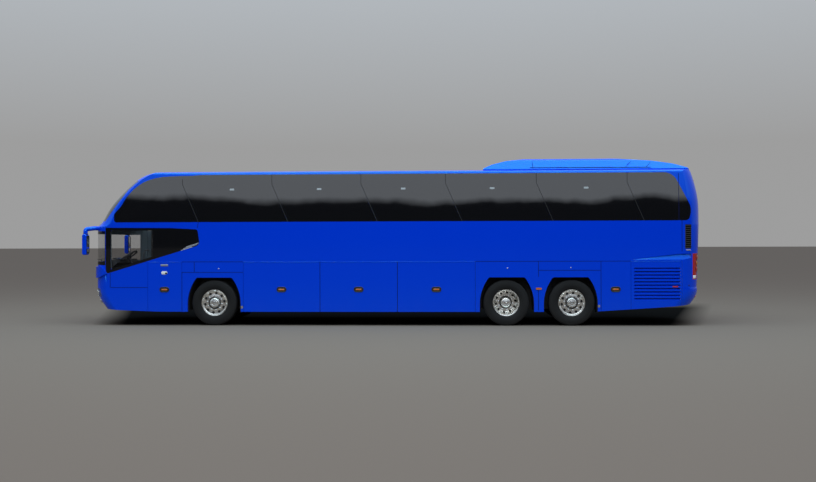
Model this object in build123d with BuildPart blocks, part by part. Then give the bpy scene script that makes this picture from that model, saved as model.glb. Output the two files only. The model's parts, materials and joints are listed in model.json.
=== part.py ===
"""Three-axle high-deck coach: hollow body shell, glazing, running gear, doors and luggage flaps.

Millimetres, +Z up, the front towards -X and the driver's side towards -Y. The origin lies on the
ground below the middle of the whole vehicle, mirrors included.
"""

import os
from math import asin, cos, pi, radians, sin, sqrt, tan

from build123d import *

os.makedirs("parts", exist_ok=True)

# Overall size and plan shape of the body
nose_x = -6930.0
tail_x = 7027.0
mirror_front_x = -7027.0
half_width = 1275.0
belt_z = 2345.0
roof_edge_half_width = 1229.0
roof_edge_z = 3477.0
roof_crown_z = 3560.0
roof_edge_radius = 65.0
nose_bow_radius = 6000.0
nose_corner_radius = 350.0
tail_bow_radius = 3200.0
tail_corner_radius = 480.0
ring_margin = 3.0

# Wall build-up and gaps
wall = 55.0
glass = 8.0
flap_gap = 12.0
lid_gap = 22.0
seal_gap = 6.0
pane_gap = 12.0
pane_seat = 60.0

# Running gear
front_axle_x = -4060.0
drive_axle_x = 2544.0
tag_axle_x = 4003.0
axle_z = 512.0
tyre_radius = 512.0
tyre_half_width = 149.0
tyre_centre_y = 1111.0
twin_spacing = 345.0
rim_radius = 288.0
rim_flange_radius = 298.0
spindle_radius = 40.0
hub_clearance = 2.0
kingpin_y = 1031.0
kingpin_radius = 25.0
pin_clearance = 0.5
arch_half = 610.0
arch_top_z = 1085.0
well_inner_y = 585.0

# Floors and carriers
skirt_z = 312.0
flap_top_z = 1443.0
luggage_floor_z = 345.0
floor_thickness = 40.0
deck_z = 1490.0
driver_floor_z = 860.0
riser_x = -4900.0
rail_inner_y = 380.0
rail_width = 80.0
rail_bottom_z = 660.0
rail_top_z = driver_floor_z - floor_thickness
bulkhead = 30.0


# Body form: rings in plan, lofted, then trimmed by the cross-section and the underside

# height, how far the nose is set back, how far the tail is set back
bumper_levels = ((240, 330, 330), (420, 190, 235), (650, 45, 78), (860, 4, 52))
flank_levels = ((860, 4, 52), (2255, 9, 0))
upper_levels = (
    (2255, 9, 0),
    (2580, 250, 4),
    (2908, 497, 34),
    (3160, 750, 90),
    (3365, 1015, 150),
    (3490, 1370, 205),
    (3600, 2100, 330),
)

# station along X, height of the underside
underside_line = (
    (-7300, 404),
    (-6290, 352),
    (-5380, 316),
    (-4700, skirt_z),
    (4400, skirt_z),
    (5854, 404),
    (6395, 446),
    (7300, 520),
)


def end_corner(end_x, bow, corner, half, inward):
    """Where an end's bow, corner arc and side meet: side station, tangent point, arc middle."""
    reach = sqrt((bow - corner) ** 2 - (half - corner) ** 2)
    centre_x = end_x + inward * (bow - reach)
    lean = asin((half - corner) / (bow - corner))
    middle = (lean + pi / 2) / 2
    tangent = (centre_x - inward * corner * cos(lean), half - corner + corner * sin(lean))
    waist = (centre_x - inward * corner * cos(middle), half - corner + corner * sin(middle))
    return centre_x, tangent, waist


def plan_ring(nose_setback, tail_setback, inset):
    """Draw the closed outline of the body at one height, in the open line builder."""
    half = half_width + ring_margin - inset
    nose = nose_x + nose_setback + inset
    tail = tail_x - tail_setback - inset
    nose_side_x, nose_tangent, nose_waist = end_corner(
        nose, nose_bow_radius - inset, nose_corner_radius - inset, half, 1
    )
    tail_side_x, tail_tangent, tail_waist = end_corner(
        tail, tail_bow_radius - inset, tail_corner_radius - inset, half, -1
    )
    ThreePointArc((nose_tangent[0], -nose_tangent[1]), (nose, 0), nose_tangent)
    ThreePointArc(nose_tangent, nose_waist, (nose_side_x, half))
    Line((nose_side_x, half), (tail_side_x, half))
    ThreePointArc((tail_side_x, half), tail_waist, tail_tangent)
    ThreePointArc(tail_tangent, (tail, 0), (tail_tangent[0], -tail_tangent[1]))
    ThreePointArc(
        (tail_tangent[0], -tail_tangent[1]), (tail_waist[0], -tail_waist[1]), (tail_side_x, -half)
    )
    Line((tail_side_x, -half), (nose_side_x, -half))
    ThreePointArc(
        (nose_side_x, -half), (nose_waist[0], -nose_waist[1]), (nose_tangent[0], -nose_tangent[1])
    )


def storey(levels, straight, inset):
    """One storey of the body form, lofted through its plan rings."""
    with BuildPart() as loft_part:
        for height, nose_setback, tail_setback in levels:
            with BuildSketch(Plane.XY.offset(height)):
                with BuildLine():
                    plan_ring(nose_setback, tail_setback, inset)
                make_face()
        loft(ruled=straight)
    return loft_part.part


def body_form(inset):
    """The closed outer form of the whole body, moved inwards by inset."""
    bumper_storey = storey(bumper_levels, False, inset)
    flank_storey = storey(flank_levels, True, inset)
    upper_storey = storey(upper_levels, False, inset)
    with BuildPart() as form:
        add(bumper_storey)
        add(flank_storey)
        add(upper_storey)
        with BuildSketch(Plane.YZ.offset(mirror_front_x)) as section:
            with BuildLine():
                Polyline(
                    (roof_edge_half_width - inset, roof_edge_z - inset),
                    (half_width - inset, belt_z),
                    (half_width - inset, 0),
                    (inset - half_width, 0),
                    (inset - half_width, belt_z),
                    (inset - roof_edge_half_width, roof_edge_z - inset),
                )
                ThreePointArc(
                    (inset - roof_edge_half_width, roof_edge_z - inset),
                    (0, roof_crown_z - inset),
                    (roof_edge_half_width - inset, roof_edge_z - inset),
                )
            make_face()
            fillet(section.vertices().group_by(Axis.Y)[-1], roof_edge_radius - inset)
        extrude(amount=tail_x - mirror_front_x + wall, mode=Mode.INTERSECT)
    return form.part


def side_prism(points, y_from, y_to):
    """A prism across the body from an outline in side view, given as X and Z."""
    with BuildPart() as prism:
        with BuildSketch(Plane.XZ.offset(-max(y_from, y_to))):
            with BuildLine():
                Polyline(*points, close=True)
            make_face()
        extrude(amount=abs(y_to - y_from))
    return prism.part


def end_prism(points, x_from, x_to):
    """A prism along the body from an outline in end view, given as Y and Z."""
    with BuildPart() as prism:
        with BuildSketch(Plane.YZ.offset(min(x_from, x_to))):
            with BuildLine():
                Polyline(*points, close=True)
            make_face()
        extrude(amount=abs(x_to - x_from))
    return prism.part


def block(x_range, y_range, z_range):
    """A plain box between its low and high corners."""
    size = [high - low for low, high in (x_range, y_range, z_range)]
    middle = [(high + low) / 2 for low, high in (x_range, y_range, z_range)]
    with BuildPart() as box:
        with Locations(tuple(middle)):
            Box(*size)
    return box.part


def common(first, second):
    """What two solids share."""
    with BuildPart() as shared:
        add(first)
        add(second, mode=Mode.INTERSECT)
    return shared.part


def less(first, *others):
    """The first solid without the others."""
    with BuildPart() as rest:
        add(first)
        add(others, mode=Mode.SUBTRACT)
    return rest.part


def rounded_side_prism(points, radii, y_from, y_to):
    """A prism across the body from an outline in side view with its own radius at each corner."""
    with BuildPart() as prism:
        with BuildSketch(Plane.XZ.offset(-max(y_from, y_to))):
            with BuildLine():
                FilletPolyline(*points, radius=radii, close=True)
            make_face()
        extrude(amount=abs(y_to - y_from))
    return prism.part


def rounded_end_prism(points, radius, x_from, x_to):
    """A prism along the body from an outline in end view with rounded corners."""
    with BuildPart() as prism:
        with BuildSketch(Plane.YZ.offset(min(x_from, x_to))):
            with BuildLine():
                FilletPolyline(*points, radius=radius, close=True)
            make_face()
        extrude(amount=abs(x_to - x_from))
    return prism.part


def both_sides(solid):
    """A solid and its mirror image on the other side of the body."""
    with BuildPart() as pair:
        add(solid)
        mirror(about=Plane.XZ)
    return pair.part


far_x = tail_x + 300
far_y = half_width + 200
far_z = roof_crown_z + 400
proud = 40.0
brow_form = body_form(-proud)
outer_form = body_form(0)
glass_form = body_form(glass)
inner_form = body_form(wall)

underside = side_prism(((-far_x, -200),) + underside_line + ((far_x, -200),), -far_y, far_y)
body_shell = less(outer_form, inner_form, underside)
glass_shell = less(outer_form, glass_form)
outside = less(block((-far_x, far_x), (-far_y, far_y), (0, far_z)), glass_form)


# Wheel arches

# axle station, arch centre ahead of or behind it, half the arch's length
arches = (
    (front_axle_x, 0, arch_half),
    (drive_axle_x, 14, arch_half - 4),
    (tag_axle_x, -25, arch_half - 10),
)
arch_curve_z = 480.0
arch_curve_radius = 984.0
arch_corner_radius = 60.0
well_shell = 15.0


def arch_prism(centre_x, half, grow, bottom_z, y_from, y_to):
    """A prism with the outline of one wheel arch, grown outwards by grow."""
    radius = arch_curve_radius + grow
    top = arch_top_z + grow
    side = half + grow
    top_half = side - radius + sqrt(radius**2 - (top - arch_curve_z) ** 2)
    bulge = (asin((top - arch_curve_z) / radius)) / 2
    waist = (side - radius + radius * cos(bulge), arch_curve_z + radius * sin(bulge))
    with BuildPart() as prism:
        with BuildSketch(Plane.XZ.offset(-max(y_from, y_to))) as outline:
            with BuildLine():
                Line((centre_x - side, bottom_z), (centre_x - side, arch_curve_z))
                ThreePointArc(
                    (centre_x - side, arch_curve_z),
                    (centre_x - waist[0], waist[1]),
                    (centre_x - top_half, top),
                )
                Line((centre_x - top_half, top), (centre_x + top_half, top))
                ThreePointArc(
                    (centre_x + top_half, top),
                    (centre_x + waist[0], waist[1]),
                    (centre_x + side, arch_curve_z),
                )
                Line((centre_x + side, arch_curve_z), (centre_x + side, bottom_z))
                Line((centre_x + side, bottom_z), (centre_x - side, bottom_z))
            make_face()
            fillet(outline.vertices().group_by(Axis.Y)[-1], arch_corner_radius + grow)
        extrude(amount=abs(y_to - y_from))
    return prism.part


arch_cutters = [
    arch_prism(axle_x + shift, half, 0, 0, -far_y, -well_inner_y) for axle_x, shift, half in arches
]

axle_slot_half = 200.0
axle_slot_top = 680.0
with BuildPart() as wheel_wells:
    for axle_x, shift, half in arches:
        add(
            arch_prism(
                axle_x + shift, half, well_shell, skirt_z + 20, wall - half_width, well_shell - well_inner_y
            )
        )
        add(arch_prism(axle_x + shift, half, 0, 0, -far_y, -well_inner_y), mode=Mode.SUBTRACT)
        slot = block(
            (axle_x - axle_slot_half, axle_x + axle_slot_half), (-well_inner_y - 1, 0), (0, axle_slot_top)
        )
        add(slot, mode=Mode.SUBTRACT)
    mirror(about=Plane.XZ)
wheel_wells.part.label = "wheel_wells"


# Glazing outlines

pane_joints = (-4789, -2741, -716, 1193, 3223, 5237)
joint_bend_z = 3200.0
joint_lean = 370.0
band_top_z = 3420.0
band_corners = (
    (-6364, belt_z),
    (-6364, 2534),
    (-5681, 3293),
    (-4360, band_top_z),
    (6241, band_top_z),
    (6660, 2612),
    (6600, belt_z),
)
band_radii = [60, 120, 1000, 2000, 330, 300, 110]
band_depth = 700.0


def band_region(inset):
    """The window band of the driver's side as a prism, drawn in by inset."""
    with BuildPart() as region:
        with BuildSketch(Plane.XZ.offset(half_width - band_depth)):
            with BuildLine():
                FilletPolyline(*band_corners, radius=band_radii, close=True)
            make_face()
            if inset:
                offset(amount=-inset)
        extrude(amount=band_depth + far_y - half_width)
    return region.part


def pane_strip(left_x, right_x, inset):
    """The strip between two slanted pane joints, drawn in by inset at both."""
    slope = joint_lean / (joint_bend_z - belt_z)
    foot_z = belt_z - wall
    foot = slope * (joint_bend_z - foot_z)
    left = left_x + inset
    right = right_x - inset
    return side_prism(
        (
            (left, far_z),
            (left, joint_bend_z),
            (left + foot, foot_z),
            (right + foot, foot_z),
            (right, joint_bend_z),
            (right, far_z),
        ),
        -far_y,
        band_depth - half_width,
    )


pane_ends = (-far_x,) + pane_joints + (far_x,)
pane_spans = list(zip(pane_ends[:-1], pane_ends[1:]))
band_full = band_region(0)
band_window = band_region(pane_seat)
pane_solids = [
    common(common(band_full, pane_strip(left_x, right_x, pane_gap / 2)), glass_shell)
    for left_x, right_x in pane_spans
]
pane_openings = [
    common(band_window, pane_strip(left_x, right_x, pane_seat)) for left_x, right_x in pane_spans
]
band_rebate = common(band_full, outside)
with BuildPart() as side_glass:
    for pane in pane_solids:
        add(pane)
    mirror(about=Plane.XZ)
side_glass.part.label = "side_glass"

# The driver's window, with the dark post ahead of it
cab_window_corners = ((-6558, 2226), (-6558, 1168), (-4387, 1826), (-4440, 2181), (-5062, 2214))
cab_window_radii = [30, 60, 110, 60, 1500]
cab_opening_corners = ((-6438, 2166), (-6438, 1274), (-4470, 1871), (-4500, 2125), (-5062, 2156))
cab_opening_radii = [30, 30, 60, 30, 1000]
cab_window = rounded_side_prism(cab_window_corners, cab_window_radii, -far_y, -half_width + 2 * wall)
cab_opening = rounded_side_prism(cab_opening_corners, cab_opening_radii, -far_y, -half_width + 2 * wall)
cab_rebate = common(cab_window, outside)

# Windscreens and rear window
low_screen_region = side_prism(
    ((-far_x, 1395), (-6566, 1370), (-6566, 2150), (-far_x, 2140)), -far_y, far_y
)
low_screen_half = half_width - 145
high_screen_half = half_width - 190
rear_window_half = half_width - 315
screen_taper = 55.0


def end_window(half, taper, low_z, high_z, radius, x_range):
    """An upright prism along the body for a window that narrows by taper towards its top."""
    corners = ((-half, low_z), (half, low_z), (half - taper, high_z), (taper - half, high_z))
    return rounded_end_prism(corners, radius, *x_range)


low_screen_opening = end_window(low_screen_half, 0, 1450, 2085, 60, (-far_x, -6400))
high_screen_region = end_window(high_screen_half, screen_taper, 2372, 3235, 90, (-far_x, -5300))
high_screen_opening = end_window(
    high_screen_half - pane_seat, screen_taper, 2372 + pane_seat, 3235 - pane_seat, 60, (-far_x, -5300)
)
rear_window_region = end_window(rear_window_half, screen_taper, 2440, 3150, 120, (6000, far_x))
rear_window_opening = end_window(
    rear_window_half - pane_seat, screen_taper, 2440 + pane_seat, 3150 - pane_seat, 80, (6000, far_x)
)
with BuildPart() as windscreens:
    add(common(low_screen_region, glass_shell))
    add(common(high_screen_region, glass_shell))
windscreens.part.label = "windscreens"
with BuildPart() as rear_window:
    add(common(rear_window_region, glass_shell))
rear_window.part.label = "rear_window"


# Lamps set flush in the shell

tail_lamp_region = block((6690, far_x), (-far_y, -1010), (1030, 1610))
head_lamp_region = rounded_end_prism(
    ((-1215, 640), (-760, 660), (-760, 815), (-1215, 850)), 40, -far_x, -6560
)
with BuildPart() as tail_lamps:
    add(common(tail_lamp_region, glass_shell))
    mirror(about=Plane.XZ)
tail_lamps.part.label = "tail_lamps"
with BuildPart() as headlamps:
    add(common(head_lamp_region, glass_shell))
    mirror(about=Plane.XZ)
headlamps.part.label = "headlamps"
tail_lamp_rebates = both_sides(common(tail_lamp_region, outside))
head_lamp_rebates = both_sides(common(head_lamp_region, outside))


# Doors and flaps: what each takes out of the shell

arm_pivot_y = half_width - 125
arm_length = 480.0
arm_pivot_inset = 110.0
arm_levels = (620.0, 2145.0)
arm_height = 30.0
arm_half_width = 20.0
arm_eye_radius = 32.0
bracket_height = 16.0
bracket_gap = 8.0
bracket_root = 10.0
post_radius = 22.0
post_clearance = 0.5
post_lug_z = (480.0, 2178.0)
post_lug_height = 30.0
post_lug_half = 36.0
post_lug_foot = 60.0
door_pin_radius = 14.0
door_glass_margin = 90.0
door_sill_z = 820.0

front_door_x = (-6400.0, -5450.0)
mid_door_x = (900.0, 1800.0)
door_bottom_z = 345.0
door_top_z = 2200.0
door_gap = 10.0

# name, first station, last station, side: -1 for the driver's side and 1 for the kerb side
side_flaps = (
    ("luggage_flap_left_1", -3395.0, -1645.0, -1),
    ("luggage_flap_left_2", -1645.0, 105.0, -1),
    ("luggage_flap_left_3", 105.0, 1855.0, -1),
    ("luggage_flap_right_1", -3395.0, -1645.0, 1),
    ("luggage_flap_right_2", -1645.0, 105.0, 1),
    ("service_flap_left", -5587.0, -4798.0, -1),
    ("louvre_flap_left", 5306.0, 6434.0, -1),
)

louvre_x = (5377.0, 6395.0)
louvre_top_z = 1290.0
louvre_pitch = 75.0
louvre_height = 36.0
louvre_count = 10
louvre_slant = 30.0


def side_box(first_x, last_x, low_z, high_z, side, gap):
    """The box that an opening takes out of one side wall, drawn in by gap."""
    y_range = sorted((side * (half_width - 2 * wall), side * far_y))
    return block((first_x + gap, last_x - gap), y_range, (low_z, high_z - gap))


flap_holes = [
    side_box(first_x, last_x, 0, flap_top_z, side, 0) for _, first_x, last_x, side in side_flaps
]
door_holes = [
    side_box(first_x, last_x, 0, door_top_z, 1, 0) for first_x, last_x in (front_door_x, mid_door_x)
]

hinge_radius = 5.0


def side_flap(first_x, last_x, side):
    """One flap of the side wall with the barrel of its piano hinge along the top edge."""
    with BuildPart() as flap:
        add(common(body_shell, side_box(first_x, last_x, 0, flap_top_z, side, flap_gap / 2)))
        hinge_line = Plane(
            origin=(first_x + flap_gap / 2, side * half_width, flap_top_z - flap_gap / 2), z_dir=(1, 0, 0)
        )
        with BuildSketch(hinge_line):
            Circle(hinge_radius)
        extrude(amount=last_x - first_x - flap_gap)
    return flap.part


flap_solids = {
    name: side_flap(first_x, last_x, side) for name, first_x, last_x, side in side_flaps
}


def slanted_slots(middle, along, inward, length, height, pitch, count):
    """Round-ended slots through a wall, one below the other, that rise inwards to shed rain."""
    slope = radians(louvre_slant)
    into = (inward[0] * cos(slope), inward[1] * cos(slope), sin(slope))
    with BuildPart() as slots:
        for row in range(count):
            origin = (middle[0], middle[1], middle[2] - row * pitch)
            with BuildSketch(Plane(origin=origin, x_dir=along, z_dir=into)):
                SlotOverall(length, height)
        extrude(amount=2 * wall, both=True)
    return slots.part


louvre_middle = ((louvre_x[0] + louvre_x[1]) / 2, wall / 2 - half_width, louvre_top_z)
louvre_slots = slanted_slots(
    louvre_middle, (1, 0, 0), (0, 1), louvre_x[1] - louvre_x[0], louvre_height, louvre_pitch, louvre_count
)
flap_solids["louvre_flap_left"] = less(flap_solids["louvre_flap_left"], louvre_slots)

engine_lid_half = 800.0
engine_lid_low_z = 560.0
engine_lid_high_z = 1425.0
lid_start_x = 6500.0
lid_hole = block((lid_start_x, far_x), (-engine_lid_half, engine_lid_half), (engine_lid_low_z, engine_lid_high_z))
lid_box = block(
    (lid_start_x, far_x),
    (seal_gap - engine_lid_half, engine_lid_half - seal_gap),
    (engine_lid_low_z + lid_gap, engine_lid_high_z - seal_gap),
)
# cooling slots in two columns
lid_slot_middle_y = 385.0
lid_slot_length = 620.0
lid_slot_top_z = 1335.0
lid_slot_pitch = 70.0
lid_slot_count = 5
lid_slots = [
    slanted_slots(
        (tail_x - wall, side * lid_slot_middle_y, lid_slot_top_z), (0, 1, 0), (-1, 0),
        lid_slot_length, louvre_height, lid_slot_pitch, lid_slot_count,
    )
    for side in (-1, 1)
]
lid_hinge_x = tail_x - 31.0
lid_hinge_y = 400.0
lid_hinge_length = 160.0
with BuildPart() as engine_lid:
    add(less(common(body_shell, lid_box), *lid_slots))
    for side in (-1, 1):
        with BuildSketch(Plane.XZ.offset(-side * lid_hinge_y)):
            with Locations((lid_hinge_x, engine_lid_high_z - seal_gap)):
                Circle(hinge_radius)
        extrude(amount=lid_hinge_length / 2, both=True)
engine_lid.part.label = "engine_lid"


# Shell pieces

cap_x = -6452.0
bumper_x = -5587.0
bumper_top_z = 862.0
belt_rail_z = 2216.0
roof_joint_z = 3425.0
tail_joint_x = 6434.0
cap_foot_x = -4440.0
corner_vent_x = (6502.0, 6652.0)
corner_vent_z = (1715.0, 2257.0)

# the facet behind the rear wheels: its foot is level and its top edge rises towards the tail lamp
facet_start_x = 5340.0
facet_rise_end_x = 6395.0
facet_foot_z = 1475.0
facet_top_z = 1602.0
facet_depth = 38.0
facet_turn = 28.0
tail_corner_x = end_corner(tail_x, tail_bow_radius, tail_corner_radius, half_width + ring_margin, -1)[0]
tail_corner_y = half_width + ring_margin - tail_corner_radius
facet_outline = side_prism(
    (
        (facet_start_x, facet_foot_z),
        (facet_rise_end_x, facet_top_z),
        (tail_corner_x, facet_top_z),
        (tail_corner_x, facet_foot_z),
    ),
    -far_y,
    2 * wall - half_width,
)
facet_slope = end_prism(
    (
        (-far_y, facet_foot_z),
        (-half_width, facet_foot_z),
        (facet_depth - half_width, facet_top_z),
        (-far_y, facet_top_z),
    ),
    facet_start_x,
    tail_corner_x,
)
with BuildPart() as facet_bend:
    with BuildSketch(Plane.YZ.offset(tail_corner_x)):
        with BuildLine():
            Polyline(
                (-half_width, facet_foot_z),
                (facet_depth - half_width, facet_top_z),
                (-half_width - wall, facet_top_z),
                (-half_width - wall, facet_foot_z),
                close=True,
            )
        make_face()
    revolve(axis=Axis((tail_corner_x, -tail_corner_y, 0), (0, 0, 1)), revolution_arc=facet_turn)
facet_cuts = [both_sides(common(facet_outline, facet_slope)), both_sides(facet_bend.part)]

# air slots and lamp holes in the bumper's front
intake_half = 560.0
intake_low_z = 480.0
intake_pitch = 66.0
intake_height = 40.0
intake_count = 3
fog_lamp_y = 930.0
fog_lamp_z = 560.0
fog_lamp_radius = 58.0
with BuildPart() as bumper_holes:
    with BuildSketch(Plane.YZ.offset(-far_x)):
        for row in range(intake_count):
            with Locations((0, intake_low_z + row * intake_pitch)):
                SlotOverall(2 * intake_half, intake_height)
        with Locations((-fog_lamp_y, fog_lamp_z), (fog_lamp_y, fog_lamp_z)):
            Circle(fog_lamp_radius)
    extrude(amount=far_x + cap_x)

cap_region = side_prism(
    (
        (-far_x, bumper_top_z),
        (cap_x, bumper_top_z),
        (cap_x, belt_rail_z),
        (cap_foot_x, belt_rail_z),
        (pane_joints[0] + joint_lean, belt_z),
        (pane_joints[0], joint_bend_z),
        (pane_joints[0], far_z),
        (-far_x, far_z),
    ),
    -far_y,
    far_y,
)
bumper_region_left = block((-far_x, bumper_x), (-far_y, 0), (0, bumper_top_z))
bumper_region_right = block((-far_x, cap_x), (0, far_y), (0, bumper_top_z))
tail_region = block((tail_joint_x, far_x), (-far_y, far_y), (0, far_z))

pane_hole_right = [mirror(hole, about=Plane.XZ) for hole in pane_openings]
band_rebate_right = mirror(band_rebate, about=Plane.XZ)
window_cutters = pane_openings + pane_hole_right + [band_rebate, band_rebate_right]
vent_region = block(corner_vent_x, (-far_y, far_y), corner_vent_z)

shell = less(
    body_shell,
    *window_cutters,
    *arch_cutters,
    *[mirror(cutter, about=Plane.XZ) for cutter in arch_cutters],
    *flap_holes,
    *door_holes,
    lid_hole,
    cab_opening,
    cab_rebate,
    low_screen_opening,
    common(low_screen_region, outside),
    high_screen_opening,
    common(high_screen_region, outside),
    rear_window_opening,
    common(rear_window_region, outside),
    tail_lamp_rebates,
    head_lamp_rebates,
    vent_region,
    *facet_cuts,
    bumper_holes.part,
)
above_belt = block((-far_x, far_x), (-far_y, far_y), (belt_z, far_z))
with BuildPart() as front_cap:
    add(common(shell, common(cap_region, above_belt)))
front_cap.part.label = "front_cap"
with BuildPart() as front_fascia:
    add(common(shell, less(cap_region, above_belt)))
front_fascia.part.label = "front_fascia"
with BuildPart() as bumper:
    add(common(shell, bumper_region_left))
    add(common(shell, bumper_region_right))
bumper.part.label = "bumper"
with BuildPart() as rear_cap:
    add(common(shell, tail_region))
rear_cap.part.label = "rear_cap"
middle_shell = less(shell, cap_region, bumper_region_left, bumper_region_right, tail_region)
with BuildPart() as roof:
    add(common(middle_shell, block((-far_x, far_x), (-far_y, far_y), (roof_joint_z, far_z))))
roof.part.label = "roof"
with BuildPart() as left_wall:
    add(common(middle_shell, block((-far_x, far_x), (-far_y, 0), (0, roof_joint_z))))
left_wall.part.label = "left_wall"
with BuildPart() as right_wall:
    add(common(middle_shell, block((-far_x, far_x), (0, far_y), (0, roof_joint_z))))
    for door_x in (front_door_x, mid_door_x):
        pivot_x = door_x[1] - arm_pivot_inset
        for lug_z in post_lug_z:
            lug_z_range = (lug_z, lug_z + post_lug_height)
            add(
                block(
                    (pivot_x - post_lug_half, door_x[1] + post_lug_foot),
                    (arm_pivot_y - post_lug_half, half_width - wall - door_gap),
                    lug_z_range,
                )
            )
            add(
                block(
                    (door_x[1] + door_gap, door_x[1] + post_lug_foot),
                    (arm_pivot_y, half_width - wall),
                    lug_z_range,
                )
            )
            with Locations((pivot_x, arm_pivot_y, lug_z + post_lug_height / 2)):
                Cylinder(post_radius + post_clearance, 2 * post_lug_height, mode=Mode.SUBTRACT)
right_wall.part.label = "right_wall"
with BuildPart() as brow:
    brow_region = side_prism(
        ((-far_x, 1052), (-6735, 1085), (-6525, 1180), (-6550, 1240), (-6680, 1345), (-far_x, 1345)),
        -far_y,
        far_y,
    )
    add(common(less(brow_form, outer_form), brow_region))
brow.part.label = "brow"
with BuildPart() as cab_glass:
    add(common(cab_window, glass_shell))
cab_glass.part.label = "cab_glass"


# Front tow eye, rails, luggage floor and bulkheads

tow_pin_radius = 20.0
tow_plate = 36.0
tow_half_width = 60.0
front_tow_x = -6720.0
rear_tow_x = 6740.0
front_tow_z = 318.0
rear_tow_z = 420.0
bulkhead_x = (-3430.0, -1660.0, 90.0, 1860.0)
front_rail_x = (-6600.0, bulkhead_x[0])
rear_rail_x = (bulkhead_x[-1] + bulkhead, 6660.0)
luggage_half_width = half_width - wall - 20
rail_middle_y = rail_inner_y + rail_width / 2
rail_y = (rail_inner_y, rail_inner_y + rail_width)


def tow_eye(eye_x, low_z, rail_end_x):
    """A tow plate with a vertical pin hole, hung from the end of one rail."""
    if eye_x < 0:
        post_x = (rail_end_x, rail_end_x + rail_width)
        plate_x = (eye_x - tow_half_width, post_x[1])
    else:
        post_x = (rail_end_x - rail_width, rail_end_x)
        plate_x = (post_x[0], eye_x + tow_half_width)
    plate_y = (rail_middle_y - tow_half_width, rail_middle_y + tow_half_width)
    with BuildPart() as eye:
        add(block(plate_x, plate_y, (low_z, low_z + tow_plate)))
        add(block(post_x, rail_y, (low_z, rail_bottom_z)))
        with Locations((eye_x, rail_middle_y, low_z + tow_plate)):
            Hole(tow_pin_radius, depth=tow_plate)
    return eye.part


with BuildPart() as rails:
    for rail_x in (front_rail_x, rear_rail_x):
        add(block(rail_x, rail_y, (rail_bottom_z, rail_top_z)))
    mirror(about=Plane.XZ)
    add(tow_eye(front_tow_x, front_tow_z, front_rail_x[0]))
    add(tow_eye(rear_tow_x, rear_tow_z, rear_rail_x[1]))
rails.part.label = "rails"

# the well of the middle door is cut out of the luggage floor and the bulkheads
stair_depth_y = 560.0
stair_gap = 115.0
mid_stair_y = (half_width - wall - stair_gap - stair_depth_y, half_width - wall - stair_gap)
mid_well = block((mid_door_x[0] - 40, mid_door_x[1] + 60), (mid_stair_y[0] - 50, far_y), (0, deck_z))
luggage_y = (-luggage_half_width, luggage_half_width)
luggage_top_z = luggage_floor_z + floor_thickness
with BuildPart() as luggage_floor:
    add(block((bulkhead_x[0], bulkhead_x[-1] + bulkhead), luggage_y, (luggage_floor_z, luggage_top_z)))
    add(mid_well, mode=Mode.SUBTRACT)
luggage_floor.part.label = "luggage_floor"
with BuildPart() as luggage_bulkheads:
    for station in bulkhead_x:
        add(block((station, station + bulkhead), luggage_y, (luggage_top_z, deck_z - floor_thickness)))
    add(mid_well, mode=Mode.SUBTRACT)
luggage_bulkheads.part.label = "luggage_bulkheads"


# Floors and steps

deck_slab = common(
    inner_form, block((riser_x, 6900), (-far_y, far_y), (deck_z - floor_thickness, deck_z))
)
driver_slab = common(
    inner_form,
    block((-far_x, riser_x + floor_thickness), (-far_y, far_y), (rail_top_z, driver_floor_z)),
)
riser = common(
    inner_form,
    block((riser_x, riser_x + floor_thickness), (-far_y, far_y), (driver_floor_z, deck_z - floor_thickness)),
)


def stairs(x_range, y_range, low_z, high_z, count):
    """A closed flight of steps that climbs inboard from the door, as one solid."""
    tread = (y_range[1] - y_range[0]) / count
    rise = (high_z - low_z) / (count + 1)
    points = [(y_range[0] - bulkhead, low_z), (y_range[1], low_z)]
    for step in range(count):
        outer = y_range[1] - step * tread
        points.append((outer, low_z + (step + 1) * rise))
        points.append((outer - tread, low_z + (step + 1) * rise))
    points.append((y_range[0], high_z - floor_thickness))
    points.append((y_range[0] - bulkhead, high_z - floor_thickness))
    return end_prism(points, *x_range)


front_stairs = stairs(
    (front_door_x[0] + 60, front_door_x[1] - 10),
    mid_stair_y,
    door_bottom_z + 10,
    driver_floor_z,
    2,
)
mid_stairs = stairs((mid_door_x[0] + 10, mid_door_x[1] - 10), mid_stair_y, door_bottom_z + 10, deck_z, 4)
front_stairwell = block(
    (front_door_x[0] + 60, front_door_x[1] - 10), (mid_stair_y[0], far_y), (0, far_z)
)
mid_stairwell = block((mid_door_x[0] + 10, mid_door_x[1] - 10), (mid_stair_y[0], far_y), (0, far_z))
with BuildPart() as cabin_floor:
    add(deck_slab)
    add(driver_slab)
    add([front_stairwell, mid_stairwell], mode=Mode.SUBTRACT)
cabin_floor.part.label = "cabin_floor"
# two flights, and the riser between the driver's floor and the passenger deck
with BuildPart() as steps:
    add(front_stairs)
    add(mid_stairs)
    add(riser)
steps.part.label = "steps"


# Seats, driver's seat and dashboard

seat_pitch = 815.0
seat_rows = 13
first_seat_x = -4080.0
seat_width = 440.0
seat_pair_gap = 15.0
aisle_half = 230.0
seat_height = 440.0
seat_depth = 460.0
seat_back_height = 1130.0
seat_back_lean = 150.0
seat_thickness = 110.0
seat_leg = 70.0


def seat_outline(x, floor):
    """Side outline of one seat facing the front, from its pedestal to its headrest."""
    return (
        (x + 130, floor),
        (x + 130 + seat_leg * 2, floor),
        (x + 130 + seat_leg * 2, floor + seat_height - seat_thickness),
        (x + seat_depth - 40, floor + seat_height - seat_thickness),
        (x + seat_depth + seat_back_lean - 30, floor + seat_back_height),
        (x + seat_depth + seat_back_lean - seat_thickness, floor + seat_back_height),
        (x + seat_depth - seat_thickness - 20, floor + seat_height + 20),
        (x, floor + seat_height),
        (x, floor + seat_height - seat_thickness),
        (x + 130, floor + seat_height - seat_thickness),
    )


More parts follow.
